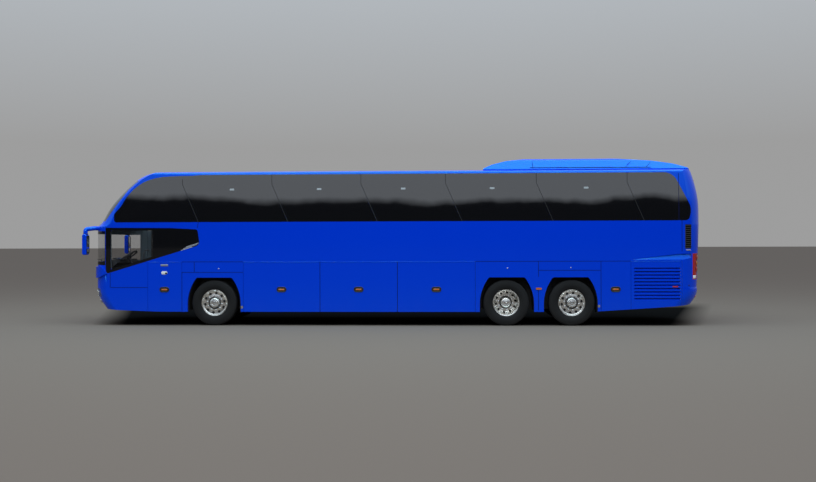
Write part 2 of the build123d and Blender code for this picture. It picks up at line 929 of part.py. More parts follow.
mid_row_gap = (mid_door_x[0] - 700, mid_door_x[1] + 60)
driver_seat_x = -5900.0
driver_seat_y = (-950.0, -450.0)
with BuildPart() as seats:
    add(side_prism(seat_outline(driver_seat_x, driver_floor_z), *driver_seat_y))
    for row in range(seat_rows):
        row_x = first_seat_x + row * seat_pitch
        for inner_y in (aisle_half, aisle_half + seat_width + seat_pair_gap):
            for side in (-1, 1):
                at_stairs = side > 0 and mid_row_gap[0] < row_x < mid_row_gap[1]
                if not at_stairs:
                    y_range = sorted((side * inner_y, side * (inner_y + seat_width)))
                    add(side_prism(seat_outline(row_x, deck_z), *y_range))
seats.part.label = "seats"

dash_outline = (
    (-6800, driver_floor_z),
    (-6560, driver_floor_z),
    (-6480, 1300),
    (-6330, 1420),
    (-6360, 1500),
    (-6600, 1480),
    (-6800, 1400),
)
wheel_hub = Plane(origin=(-6230, -700, 1560), z_dir=(-0.55, 0, 0.83))
dash_y = (-1150.0, 300.0)
steering_rim_radius = 225.0
steering_rim_tube = 15.0
column_radius = 35.0
with BuildPart() as dashboard:
    add(common(side_prism(dash_outline, *dash_y), inner_form))
    with BuildSketch(wheel_hub):
        Circle(column_radius)
    extrude(amount=-260)
    with BuildSketch(wheel_hub):
        Circle(steering_rim_radius + steering_rim_tube)
        Circle(steering_rim_radius - steering_rim_tube, mode=Mode.SUBTRACT)
        with PolarLocations(steering_rim_radius / 2, 3, start_angle=90):
            Rectangle(steering_rim_radius, 2 * steering_rim_tube)
        Circle(column_radius * 2)
    extrude(amount=steering_rim_tube, both=True)
dashboard.part.label = "dashboard"


# Axles

eye_radius = 52.0
eye_half_height = 70.0
beam_half_width = 50.0
beam_half_height = 52.0
beam_z = 470.0
bellows_radius = 130.0
bellows_y = 460.0
bellows_overlap = 40.0


def beam_axle(axle_x, name):
    """A dead beam axle: eyes for the kingpins and air springs up to the rails."""
    with BuildPart() as axle:
        add(
            block(
                (axle_x - beam_half_width, axle_x + beam_half_width),
                (-kingpin_y, kingpin_y),
                (beam_z - beam_half_height, beam_z + beam_half_height),
            )
        )
        for side in (-1, 1):
            with Locations((axle_x, side * kingpin_y, axle_z)):
                Cylinder(eye_radius, 2 * eye_half_height)
            with Locations((axle_x, side * bellows_y, (beam_z + rail_bottom_z) / 2)):
                Cylinder(bellows_radius - 40, rail_bottom_z - beam_z)
        for side in (-1, 1):
            with Locations((axle_x, side * kingpin_y, axle_z)):
                Cylinder(kingpin_radius + pin_clearance, 4 * eye_half_height, mode=Mode.SUBTRACT)
            add(
                block(
                    (axle_x - 2 * beam_half_width, axle_x + 2 * beam_half_width),
                    sorted((side * (kingpin_y + eye_radius), side * (kingpin_y + 2 * eye_radius))),
                    (0, 2 * axle_z),
                ),
                mode=Mode.SUBTRACT,
            )
            for low_z, high_z in ((0, axle_z - eye_half_height), (axle_z + eye_half_height, rail_bottom_z)):
                add(
                    block(
                        (axle_x - 2 * beam_half_width, axle_x + 2 * beam_half_width),
                        sorted((side * (kingpin_y - 2 * eye_radius), side * (kingpin_y + 2 * eye_radius))),
                        (low_z, high_z),
                    ),
                    mode=Mode.SUBTRACT,
                )
    axle.part.label = name
    return axle


front_axle = beam_axle(front_axle_x, "front_axle")
tag_axle = beam_axle(tag_axle_x, "tag_axle")

drive_tube_radius = 90.0
drive_spindle_radius = 60.0
drive_spindle_start_y = 880.0
drive_spindle_end_y = 1010.0
differential_radius = 210.0
with BuildPart() as drive_axle:
    with BuildSketch(Plane.XZ.offset(-drive_spindle_start_y)):
        with Locations((drive_axle_x, axle_z)):
            Circle(drive_tube_radius)
    extrude(amount=2 * drive_spindle_start_y)
    with BuildSketch(Plane.XZ.offset(-drive_spindle_end_y)):
        with Locations((drive_axle_x, axle_z)):
            Circle(drive_spindle_radius)
    extrude(amount=2 * drive_spindle_end_y)
    with Locations((drive_axle_x, 0, axle_z)):
        Sphere(differential_radius)
    for side in (-1, 1):
        with Locations((drive_axle_x, side * rail_middle_y, (axle_z + rail_bottom_z) / 2)):
            Cylinder(rail_width, rail_bottom_z - axle_z)
drive_axle.part.label = "drive_axle"


# Knuckles

lug_radius = 50.0
lug_height = 52.0
lug_gap = 6.0
web_start = 60.0
web_thickness = 25.0
spindle_end_y = 1205.0


def knuckle(axle_x, side, name):
    """A steering knuckle: kingpin, two lugs round the axle's eye, web and spindle."""
    low_z = axle_z - eye_half_height - lug_gap - lug_height
    high_z = axle_z + eye_half_height + lug_gap + lug_height
    with BuildPart() as piece:
        with Locations((axle_x, side * kingpin_y, axle_z)):
            Cylinder(kingpin_radius, high_z - low_z)
        for lug_z in (low_z + lug_height / 2, high_z - lug_height / 2):
            with Locations((axle_x, side * kingpin_y, lug_z)):
                Cylinder(lug_radius, lug_height)
            y_range = sorted((side * kingpin_y, side * (kingpin_y + web_start + 1)))
            add(block((axle_x - lug_radius, axle_x + lug_radius), y_range,
                      (lug_z - lug_height / 2, lug_z + lug_height / 2)))
        web_y = sorted((side * (kingpin_y + web_start), side * (kingpin_y + web_start + web_thickness)))
        add(block((axle_x - lug_radius, axle_x + lug_radius), web_y, (low_z, high_z)))
        with BuildSketch(Plane.XZ.offset(-side * (kingpin_y + web_start))):
            with Locations((axle_x, axle_z)):
                Circle(spindle_radius)
        extrude(amount=-side * (spindle_end_y - kingpin_y - web_start))
    piece.part.label = name
    return piece


# Wheels

# offset from the tyre's middle plane, radius from the axle line, rounding of the corner
bead_half = 105.0
flange_half = 120.0
tyre_profile = (
    (-bead_half, rim_radius, 0),
    (1 - flange_half + 10, rim_flange_radius, 3),
    (-tyre_half_width - 8, 400, 110),
    (-124, tyre_radius, 24),
    (124, tyre_radius, 24),
    (tyre_half_width + 8, 400, 110),
    (flange_half - 11, rim_flange_radius, 3),
    (bead_half, rim_radius, 0),
)
hub_bore = spindle_radius + hub_clearance
convex_profile = (
    (-flange_half, rim_flange_radius, 2),
    (10 - flange_half, rim_flange_radius, 2),
    (-bead_half - 1, rim_radius, 1),
    (bead_half + 1, rim_radius, 1),
    (flange_half - 10, rim_flange_radius, 2),
    (flange_half, rim_flange_radius, 2),
    (118, 280, 4),
    (96, 262, 12),
    (92, 205, 14),
    (100, 118, 8),
    (146, 100, 14),
    (154, 0, 0),
    (102, 0, 0),
    (102, hub_bore, 0),
    (24, hub_bore, 0),
    (24, 95, 0),
    (74, 95, 6),
    (74, 240, 16),
    (60, 272, 8),
    (-104, 272, 3),
)
drive_bore = drive_spindle_radius + hub_clearance
outer_rim_profile = (
    (-flange_half, rim_flange_radius, 2),
    (10 - flange_half, rim_flange_radius, 2),
    (-bead_half - 1, rim_radius, 1),
    (bead_half + 1, rim_radius, 1),
    (flange_half - 10, rim_flange_radius, 2),
    (flange_half, rim_flange_radius, 2),
    (118, 282, 4),
    (100, 272, 8),
    (-40, 272, 60),
    (-148, 215, 20),
    (-148, 118, 6),
    (-10, 108, 30),
    (4, 0, 0),
    (-96, 0, 0),
    (-96, drive_bore, 0),
    (-twin_spacing / 2, drive_bore, 0),
    (-twin_spacing / 2, 228, 0),
    (-130, 250, 8),
    (-104, 272, 2),
)
inner_rim_profile = (
    (-flange_half, rim_flange_radius, 2),
    (10 - flange_half, rim_flange_radius, 2),
    (-bead_half - 1, rim_radius, 1),
    (bead_half + 1, rim_radius, 1),
    (flange_half - 10, rim_flange_radius, 2),
    (flange_half, rim_flange_radius, 2),
    (flange_half, 272, 4),
    (148, 240, 10),
    (twin_spacing / 2, 228, 0),
    (twin_spacing / 2, 100, 0),
    (148, 100, 0),
    (148, 215, 10),
    (104, 235, 10),
    (90, 272, 8),
    (-104, 272, 3),
)
hand_hole_radius = 27.0
hand_hole_circle = 222.0
hand_hole_count = 10


def turned(profile, axle_x, centre_y, side):
    """A solid turned about the axle line from a profile of offsets, radii and roundings."""
    middle = side * centre_y
    with BuildPart() as solid:
        with BuildSketch(
            Plane(origin=(axle_x, middle, axle_z), x_dir=(0, side, 0), z_dir=(side, 0, 0))
        ) as outline:
            with BuildLine():
                Polyline(*[(across, radius) for across, radius, _ in profile], close=True)
            make_face()
            for across, radius, rounding in profile:
                if rounding:
                    fillet(outline.vertices().sort_by_distance((across, radius))[0], rounding)
        revolve(axis=Axis((axle_x, middle, axle_z), (0, 1, 0)))
    return solid.part


def hand_holes(axle_x, side):
    """The ring of hand holes through the wheel's disc, as cutters."""
    with BuildPart() as cutters:
        with BuildSketch(Plane.XZ.offset(-side * (tyre_centre_y - twin_spacing / 2))):
            with Locations((axle_x, axle_z)):
                with PolarLocations(hand_hole_circle, hand_hole_count, start_angle=9):
                    Circle(hand_hole_radius)
        extrude(amount=-side * twin_spacing, both=True)
    return cutters.part


wheel_pieces = []
# name, axle station, single or twin tyres
wheels = (
    ("front", front_axle_x, False),
    ("drive", drive_axle_x, True),
    ("tag", tag_axle_x, False),
)
side_names = ((-1, "left"), (1, "right"))
for axle_name, axle_x, twin in wheels:
    for side, side_name in side_names:
        with BuildPart() as tyre:
            add(turned(tyre_profile, axle_x, tyre_centre_y, side))
            if twin:
                add(turned(tyre_profile, axle_x, tyre_centre_y - twin_spacing, side))
        tyre.part.label = f"tyre_{axle_name}_{side_name}"
        with BuildPart() as rim:
            if twin:
                add(turned(outer_rim_profile, axle_x, tyre_centre_y, side))
                add(turned(inner_rim_profile, axle_x, tyre_centre_y - twin_spacing, side))
            else:
                add(turned(convex_profile, axle_x, tyre_centre_y, side))
            add(hand_holes(axle_x, side), mode=Mode.SUBTRACT)
        rim.part.label = f"rim_{axle_name}_{side_name}"
        wheel_pieces += [tyre, rim]
knuckles = [
    knuckle(axle_x, side, f"knuckle_{axle_name}_{side_name}")
    for axle_name, axle_x, twin in wheels
    if not twin
    for side, side_name in side_names
]


# Engine

engine_x = (5250.0, 6450.0)
engine_z = (480.0, 1330.0)
with BuildPart() as engine:
    add(block(engine_x, (-rail_inner_y, rail_inner_y), engine_z))
engine.part.label = "engine"


# Passenger doors on swing arms


def door_leaf(x_range, name):
    """A door leaf as thick as the wall, with its window, pane rebate and the pins for the arms."""
    first_x, last_x = x_range[0] + door_gap, x_range[1] - door_gap
    leaf_box = block((first_x, last_x), (half_width - 2 * wall, far_y), (door_bottom_z, door_top_z - door_gap))
    pane_box = block(
        (first_x + door_glass_margin / 2, last_x - door_glass_margin / 2),
        (half_width - glass, far_y),
        (door_sill_z, door_top_z - door_gap - door_glass_margin / 2),
    )
    opening_box = block(
        (first_x + door_glass_margin, last_x - door_glass_margin),
        (half_width - 2 * wall, far_y),
        (door_sill_z + door_glass_margin / 2, door_top_z - door_gap - door_glass_margin),
    )
    pin_x = x_range[1] - arm_pivot_inset - arm_length
    with BuildPart() as leaf:
        add(less(common(body_shell, leaf_box), pane_box, opening_box))
        for level in arm_levels:
            bracket_offset = arm_height / 2 + bracket_gap + bracket_height / 2
            with Locations((pin_x, arm_pivot_y, level)):
                Cylinder(door_pin_radius, 2 * bracket_offset)
            for bracket_z in (level - bracket_offset, level + bracket_offset):
                add(
                    block(
                        (pin_x - arm_half_width, pin_x + arm_half_width),
                        (arm_pivot_y - arm_half_width, half_width - wall + bracket_root),
                        (bracket_z - bracket_height / 2, bracket_z + bracket_height / 2),
                    )
                )
    leaf.part.label = name
    with BuildPart() as pane:
        add(common(pane_box, block((-far_x, far_x), (0, half_width), (0, far_z))))
    pane.part.label = name + "_glass"
    return leaf, pane


def door_arms(x_range, name):
    """The swing arms of one door: a post inside the rear edge with two arms to the leaf."""
    pivot_x = x_range[1] - arm_pivot_inset
    pin_x = pivot_x - arm_length
    with BuildPart() as arms:
        with Locations((pivot_x, arm_pivot_y, (post_lug_z[0] + post_lug_z[1] + post_lug_height) / 2)):
            Cylinder(post_radius, post_lug_z[1] + post_lug_height - post_lug_z[0])
        for level in arm_levels:
            with Locations(((pivot_x + pin_x) / 2, arm_pivot_y, level)):
                Box(arm_length, 2 * arm_half_width, arm_height)
            with Locations((pin_x, arm_pivot_y, level)):
                Cylinder(arm_eye_radius, arm_height)
            with Locations((pin_x, arm_pivot_y, level)):
                Cylinder(door_pin_radius + post_clearance, 2 * arm_height, mode=Mode.SUBTRACT)
    arms.part.label = name
    return arms


front_door, front_door_glass = door_leaf(front_door_x, "front_door")
mid_door, mid_door_glass = door_leaf(mid_door_x, "mid_door")
front_door_arm = door_arms(front_door_x, "front_door_arm")
mid_door_arm = door_arms(mid_door_x, "mid_door_arm")


# Air conditioner on the roof

pod_top_z = 3760.0
pod_points = (
    (2045, 3540),
    (2250, 3632),
    (2560, 3712),
    (3000, pod_top_z),
    (5000, pod_top_z),
    (5800, 3705),
    (6300, 3632),
    (6640, 3528),
    (6640, 3300),
    (2045, 3300),
)
pod_radii = [20, 400, 500, 900, 900, 900, 900, 60, 20, 20]
pod_base_half = roof_edge_half_width - 169
pod_top_half = pod_base_half - 130
pod_edge_radius = 120.0
# station of each groove between the covers, and its depth below the unit's top
pod_joints = ((3150.0, 0.0), (5300.0, 21.0), (5740.0, 51.0))
pod_joint_width = 8.0
pod_joint_depth = 10.0
fan_x = (3450.0, 4075.0, 4700.0)
fan_y = 430.0
fan_radius = 270.0
fan_hub_radius = 70.0
fan_depth = 45.0
with BuildPart() as pod_section:
    with BuildSketch(Plane.YZ.offset(pod_points[0][0])) as pod_outline:
        with BuildLine():
            Polyline(
                (-pod_base_half, 3300),
                (-pod_base_half, 3520),
                (-pod_top_half, pod_top_z + 2),
                (pod_top_half, pod_top_z + 2),
                (pod_base_half, 3520),
                (pod_base_half, 3300),
                close=True,
            )
        make_face()
        fillet(pod_outline.vertices().group_by(Axis.Y)[-1], pod_edge_radius)
    extrude(amount=pod_points[7][0] - pod_points[0][0])
with BuildPart() as air_conditioner:
    add(rounded_side_prism(pod_points, pod_radii, -far_y, far_y))
    add(pod_section.part, mode=Mode.INTERSECT)
    add(outer_form, mode=Mode.SUBTRACT)
    # grooves between the covers, and the wells of the condenser fans
    for joint_x, joint_drop in pod_joints:
        with Locations((joint_x, 0, pod_top_z - joint_drop)):
            Box(pod_joint_width, 2 * pod_base_half, 2 * pod_joint_depth, mode=Mode.SUBTRACT)
    with BuildSketch(Plane.XY.offset(pod_top_z)):
        with Locations([(x, side * fan_y) for x in fan_x for side in (-1, 1)]):
            Circle(fan_radius)
            Circle(fan_hub_radius, mode=Mode.SUBTRACT)
    extrude(amount=-fan_depth, mode=Mode.SUBTRACT)
air_conditioner.part.label = "air_conditioner"


# Mirrors

mirror_head_x = (mirror_front_x, -6922.0)
mirror_head_y = (half_width + 25, half_width + 215)
mirror_head_z = (1606.0, 2080.0)
mirror_radius = 45.0
mirror_arm_points = ((-6975, 1395, 2030), (-6975, 1395, 2190), (-6820, 1250, 2215), (-6700, 1050, 2215))
mirror_arm_radius = 50.0
with BuildPart() as left_mirror:
    add(block(mirror_head_x, (-mirror_head_y[1], -mirror_head_y[0]), mirror_head_z))
    fillet(left_mirror.edges().filter_by(Axis.Y), mirror_radius)
    fillet(left_mirror.edges().filter_by(Axis.X), mirror_radius / 2)
    with BuildLine():
        arm_line = FilletPolyline(*[(x, -y, z) for x, y, z in mirror_arm_points], radius=60)
    with BuildSketch(Plane(origin=arm_line @ 0, z_dir=arm_line % 0)):
        Circle(mirror_arm_radius)
    sweep(path=arm_line)
    add(outer_form, mode=Mode.SUBTRACT)
with BuildPart() as mirrors:
    add(left_mirror.part)
    mirror(about=Plane.XZ)
mirrors.part.label = "mirrors"


# Marker lamps and corner vents

# station and height of each fixed orange marker lamp
marker_places = ((7327.0 - 4060.0, 830.0),)
marker_half_length = 62.0
marker_half_height = 21.0
marker_depth = 12.0
with BuildPart() as marker_lamps:
    for marker_x, marker_z in marker_places:
        with Locations((marker_x, -half_width - marker_depth / 2, marker_z)):
            Box(2 * marker_half_length, marker_depth, 2 * marker_half_height)
    mirror(about=Plane.XZ)
marker_lamps.part.label = "marker_lamps"
vent_slat_pitch = 45.0
vent_slat_count = 11
vent_slot_height = 22.0
vent_rim = 14.0
with BuildPart() as corner_vents:
    add(common(less(body_shell, glass_shell), block(corner_vent_x, (-far_y, far_y), corner_vent_z)))
    for row in range(vent_slat_count):
        slot_z = corner_vent_z[0] + vent_slat_pitch * (row + 1)
        slot_x = (corner_vent_x[0] + vent_rim, corner_vent_x[1] - vent_rim)
        slot_y = (-far_y, far_y)
        add(block(slot_x, slot_y, (slot_z - vent_slot_height / 2, slot_z + vent_slot_height / 2)), mode=Mode.SUBTRACT)
corner_vents.part.label = "corner_vents"

for name, solid in flap_solids.items():
    solid.label = name
    export_step(solid, f"parts/{name}.step")
for piece in [
    front_cap,
    front_fascia,
    bumper,
    brow,
    left_wall,
    right_wall,
    roof,
    rear_cap,
    windscreens,
    side_glass,
    cab_glass,
    rear_window,
    headlamps,
    tail_lamps,
    marker_lamps,
    corner_vents,
    air_conditioner,
    mirrors,
    wheel_wells,
    rails,
    luggage_floor,
    luggage_bulkheads,
    cabin_floor,
    steps,
    seats,
    dashboard,
    front_axle,
    drive_axle,
    tag_axle,
    engine,
    engine_lid,
    front_door,
    front_door_glass,
    front_door_arm,
    mid_door,
    mid_door_glass,
    mid_door_arm,
    *knuckles,
    *wheel_pieces,
]:
    export_step(piece.part, f"parts/{piece.part.label}.step")
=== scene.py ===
"""Looks of the three-axle touring coach: paint, glazing, tyres, seats and trim."""

import json
import math

import bmesh
import bpy
from mathutils import Matrix, Vector
from mathutils.bvhtree import BVHTree


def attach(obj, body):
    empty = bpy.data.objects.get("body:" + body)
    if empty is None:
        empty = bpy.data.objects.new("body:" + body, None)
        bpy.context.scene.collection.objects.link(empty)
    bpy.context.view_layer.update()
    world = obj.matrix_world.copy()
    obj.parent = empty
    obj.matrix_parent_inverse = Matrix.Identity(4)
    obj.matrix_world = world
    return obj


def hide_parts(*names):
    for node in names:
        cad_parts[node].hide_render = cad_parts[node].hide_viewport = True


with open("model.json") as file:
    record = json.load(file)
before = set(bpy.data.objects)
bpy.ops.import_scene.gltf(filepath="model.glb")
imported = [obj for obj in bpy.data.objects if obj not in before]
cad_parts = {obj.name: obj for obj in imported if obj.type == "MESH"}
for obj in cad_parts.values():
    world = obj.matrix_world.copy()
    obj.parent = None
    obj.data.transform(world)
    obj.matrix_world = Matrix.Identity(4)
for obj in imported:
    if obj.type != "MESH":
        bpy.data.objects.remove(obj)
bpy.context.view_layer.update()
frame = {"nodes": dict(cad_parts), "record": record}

NODES = frame["nodes"]

# Camera, from the photograph's vanishing points: lens for a 36 mm sensor
CAMERA_PLACE = (1.305, -22.55, 1.85)
CAMERA_YAW = 2.58
CAMERA_PITCH = 0.145
CAMERA_ROLL = 0.16
CAMERA_LENS = 41.8

# Colours, linear
ROYAL_BLUE = (0.0, 0.035, 0.63, 1)
SKY_TINT = (0.06, 0.70, 1.0, 1)
LINING_GREY = (0.16, 0.16, 0.165, 1)
BLACK_PLASTIC = (0.012, 0.012, 0.013, 1)
CHASSIS_BLACK = (0.022, 0.022, 0.024, 1)
TYRE_BLACK = (0.005, 0.005, 0.0055, 1)
ROAD_DUST = (0.16, 0.14, 0.12, 1)
POLISHED = (0.86, 0.845, 0.81, 1)
CAST_GREY = (0.045, 0.045, 0.048, 1)
ORANGE_LENS = (0.50, 0.13, 0.012, 1)
RED_LENS = (0.42, 0.006, 0.008, 1)
FLOOR_GREY = (0.170, 0.139, 0.118, 1)
FLOOR_SHADE = (0.006, 0.006, 0.006, 1)


# Shader groups

def new_group(name, inputs, outputs):
    """An empty shader node group with its sockets; rows are name, type, default."""
    group = bpy.data.node_groups.new(name, "ShaderNodeTree")
    for label, kind, default in inputs:
        socket = group.interface.new_socket(label, in_out="INPUT", socket_type=kind)
        socket.default_value = default
    for label, kind in outputs:
        group.interface.new_socket(label, in_out="OUTPUT", socket_type=kind)
    group.nodes.new("NodeGroupInput")
    group.nodes.new("NodeGroupOutput")
    return group


def ends(group):
    """The input and output nodes of a group."""
    nodes = group.nodes
    return nodes["Group Input"], nodes["Group Output"]


def add_node(tree, kind, **settings):
    """A node with its properties set."""
    node = tree.nodes.new(kind)
    for key, value in settings.items():
        setattr(node, key, value)
    return node


def math_node(tree, operation, first, second=None):
    """A math node; each argument is a socket or a number."""
    node = add_node(tree, "ShaderNodeMath", operation=operation)
    for index, value in enumerate((first, second)):
        if value is None:
            continue
        if isinstance(value, (int, float)):
            node.inputs[index].default_value = value
        else:
            tree.links.new(value, node.inputs[index])
    return node.outputs[0]


def noise(tree, vector, scale, detail=2.0):
    """A noise texture's value."""
    node = add_node(tree, "ShaderNodeTexNoise")
    node.inputs["Scale"].default_value = scale
    node.inputs["Detail"].default_value = detail
    tree.links.new(vector, node.inputs["Vector"])
    return node.outputs["Fac"]


def map_range(tree, value, low, high, to_low=0.0, to_high=1.0):
    """A clamped linear map; low and high are sockets or numbers."""
    node = add_node(tree, "ShaderNodeMapRange")
    tree.links.new(value, node.inputs["Value"])
    for label, number in (("From Min", low), ("From Max", high), ("To Min", to_low), ("To Max", to_high)):
        if isinstance(number, (int, float)):
            node.inputs[label].default_value = number
        else:
            tree.links.new(number, node.inputs[label])
    return node.outputs["Result"]


def mix_colour(tree, factor, first, second):
    """Mix two colours; each is a socket or a colour."""
    node = add_node(tree, "ShaderNodeMix", data_type="RGBA")
    tree.links.new(factor, node.inputs["Factor"])
    for label, value in (("A", first), ("B", second)):
        socket = [item for item in node.inputs if item.name == label and item.type == "RGBA"][0]
        if isinstance(value, tuple):
            socket.default_value = value
        else:
            tree.links.new(value, socket)
    return [item for item in node.outputs if item.type == "RGBA"][0]


def road_film_group():
    """Dust thrown up from the road: a mask that thins out with height."""
    group = new_group(
        "road_film",
        (("Full Below", "NodeSocketFloat", 0.3), ("None Above", "NodeSocketFloat", 1.0),
         ("Strength", "NodeSocketFloat", 0.3), ("Base", "NodeSocketColor", (0, 0, 0, 1)),
         ("Dust", "NodeSocketColor", ROAD_DUST)),
        (("Color", "NodeSocketColor"), ("Mask", "NodeSocketFloat")),
    )
    start, end = ends(group)
    coords = add_node(group, "ShaderNodeTexCoord")
    split = add_node(group, "ShaderNodeSeparateXYZ")
    group.links.new(coords.outputs["Object"], split.inputs[0])
    height = map_range(group, split.outputs["Z"], start.outputs["None Above"], start.outputs["Full Below"])
    broken = map_range(group, noise(group, coords.outputs["Object"], 3.0, 6.0), 0.25, 0.75)
    film = math_node(group, "MULTIPLY", height, broken)
    mask = math_node(group, "MULTIPLY", film, start.outputs["Strength"])
    colour = mix_colour(group, mask, start.outputs["Base"], start.outputs["Dust"])
    group.links.new(colour, end.inputs["Color"])
    group.links.new(mask, end.inputs["Mask"])
    return group


def grain_group():
    """Fine moulded or cast grain: a height for bump and a slight spread of roughness."""
    group = new_group(
        "grain",
        (("Scale", "NodeSocketFloat", 400.0), ("Roughness", "NodeSocketFloat", 0.5),
         ("Spread", "NodeSocketFloat", 0.1)),
        (("Height", "NodeSocketFloat"), ("Roughness", "NodeSocketFloat")),
    )
    start, end = ends(group)
    coords = add_node(group, "ShaderNodeTexCoord")
    fine = add_node(group, "ShaderNodeTexNoise")
    fine.inputs["Detail"].default_value = 3.0
    group.links.new(coords.outputs["Object"], fine.inputs["Vector"])
    group.links.new(start.outputs["Scale"], fine.inputs["Scale"])
    broad = noise(group, coords.outputs["Object"], 6.0, 4.0)
    centred = math_node(group, "SUBTRACT", broad, 0.5)
    spread = math_node(group, "MULTIPLY", centred, start.outputs["Spread"])
    group.links.new(math_node(group, "ADD", start.outputs["Roughness"], spread), end.inputs["Roughness"])
    group.links.new(fine.outputs["Fac"], end.inputs["Height"])
    return group


def weave_group():
    """A plain weave from two crossed waves, with a stripe of a second yarn."""
    group = new_group(
        "weave",
        (("Scale", "NodeSocketFloat", 300.0), ("Yarn", "NodeSocketColor", (0.03, 0.04, 0.1, 1)),
         ("Second Yarn", "NodeSocketColor", (0.1, 0.12, 0.2, 1))),
        (("Color", "NodeSocketColor"), ("Height", "NodeSocketFloat")),
    )
    start, end = ends(group)
    coords = add_node(group, "ShaderNodeTexCoord")
    heights = []
    for direction in ("Y", "Z"):
        wave = add_node(group, "ShaderNodeTexWave", bands_direction=direction)
        wave.inputs["Distortion"].default_value = 0.4
        group.links.new(coords.outputs["Object"], wave.inputs["Vector"])
        group.links.new(start.outputs["Scale"], wave.inputs["Scale"])
        heights.append(wave.outputs["Fac"])
    height = math_node(group, "MAXIMUM", heights[0], heights[1])
    patches = map_range(group, noise(group, coords.outputs["Object"], 9.0), 0.45, 0.6)
    colour = mix_colour(group, patches, start.outputs["Yarn"], start.outputs["Second Yarn"])
    group.links.new(colour, end.inputs["Color"])
    group.links.new(height, end.inputs["Height"])
    return group


GROUPS = {"road_film": road_film_group(), "grain": grain_group(), "weave": weave_group()}


# Materials

# where the painted shell's inward faces are lined: beyond these stations, widths and heights
LINED_END_X = 5.6
LINED_SIDE_Y = 1.1
LINED_ROOF_Z = 2.3

# clear parts of the screens and of the driver's window; outside them the glass is printed black
SCREENS_PART_Z = 2.25
LOW_SCREEN_FOOT_Z = 1.455
LOW_SCREEN_TOP_Z = 2.085
SCREEN_PILLAR_X = -6.578
HIGH_SCREEN_FOOT_Z = 2.432
HIGH_SCREEN_TOP_Z = 3.175
HIGH_SCREEN_HALF = 1.022
HIGH_SCREEN_TAPER = 0.074
CAB_FRONT_X = -6.438
CAB_TOP_Z = 2.166
CAB_TOP_SLOPE = -0.0076
CAB_FOOT_Z = 1.274
CAB_FOOT_SLOPE = 0.3034
SCREEN_ALPHA = 0.12
CAB_ALPHA = 0.14
DOOR_ALPHA = 0.22


def new_material(name, base, roughness, metallic=0.0, **sockets):
    """A material with one Principled shader and its constants on the shader's own sockets."""
    material = bpy.data.materials.new(name)
    material.use_nodes = True
    shader = material.node_tree.nodes["Principled BSDF"]
    shader.inputs["Base Color"].default_value = base
    shader.inputs["Roughness"].default_value = roughness
    shader.inputs["Metallic"].default_value = metallic
    for label, value in sockets.items():
        shader.inputs[label.replace("_", " ")].default_value = value
    return material, shader


def place_group(tree, name, **values):
    """A shader group placed in a material with its own values."""
    node = tree.nodes.new("ShaderNodeGroup")
    node.node_tree = GROUPS[name]
    for label, value in values.items():
        node.inputs[label.replace("_", " ")].default_value = value
    return node


def add_bump(tree, shader, height, strength, distance):
    """A bump node between a height and the shader's normal."""
    bump = add_node(tree, "ShaderNodeBump")
    bump.inputs["Strength"].default_value = strength
    bump.inputs["Distance"].default_value = distance
    tree.links.new(height, bump.inputs["Height"])
    tree.links.new(bump.outputs["Normal"], shader.inputs["Normal"])


def finish_material(name, base, roughness, metallic=0.0, grain_scale=300.0, grain_bump=0.1,
                    grain_depth=0.0005, spread=0.12, dust=0.0, dust_top=1.2, **sockets):
    """A material with grain and road dust from the shared groups."""
    material, shader = new_material(name, base, roughness, metallic, **sockets)
    tree = material.node_tree
    grain = place_group(tree, "grain", Scale=grain_scale, Roughness=roughness, Spread=spread)
    tree.links.new(grain.outputs["Roughness"], shader.inputs["Roughness"])
    add_bump(tree, shader, grain.outputs["Height"], grain_bump, grain_depth)
    film = place_group(tree, "road_film", Full_Below=0.1, None_Above=dust_top, Strength=dust, Base=base)
    tree.links.new(film.outputs["Color"], shader.inputs["Base Color"])
    return material


def glass_material(name, tint, roughness, alpha, **sockets):
    """Tinted glazing: a glossy dark shader, let through by alpha."""
    material, shader = new_material(name, tint, roughness, Alpha=alpha, **sockets)
    tree = material.node_tree
    grain = place_group(tree, "grain", Scale=3.0, Roughness=roughness, Spread=0.02)
    tree.links.new(grain.outputs["Roughness"], shader.inputs["Roughness"])
    return material


def either(tree, *masks):
    """The strongest of several masks."""
    strongest = masks[0]
    for mask in masks[1:]:
        strongest = math_node(tree, "MAXIMUM", strongest, mask)
    return strongest


def place_of(tree):
    """The three coordinates of the shaded point."""
    coords = add_node(tree, "ShaderNodeTexCoord")
    split = add_node(tree, "ShaderNodeSeparateXYZ")
    tree.links.new(coords.outputs["Object"], split.inputs[0])
    return split.outputs["X"], split.outputs["Y"], split.outputs["Z"]


def gloss_paint(name):
    """The coach's clear-coated blue."""
    return finish_material(name, ROYAL_BLUE, 0.12, grain_scale=900.0, grain_bump=0.02,
                           grain_depth=0.0002, spread=0.03, dust=0.03, dust_top=0.7,
                           Specular_IOR_Level=1.0, Specular_Tint=SKY_TINT, Coat_Weight=0.15,
                           Coat_Roughness=0.04, Coat_IOR=1.45)


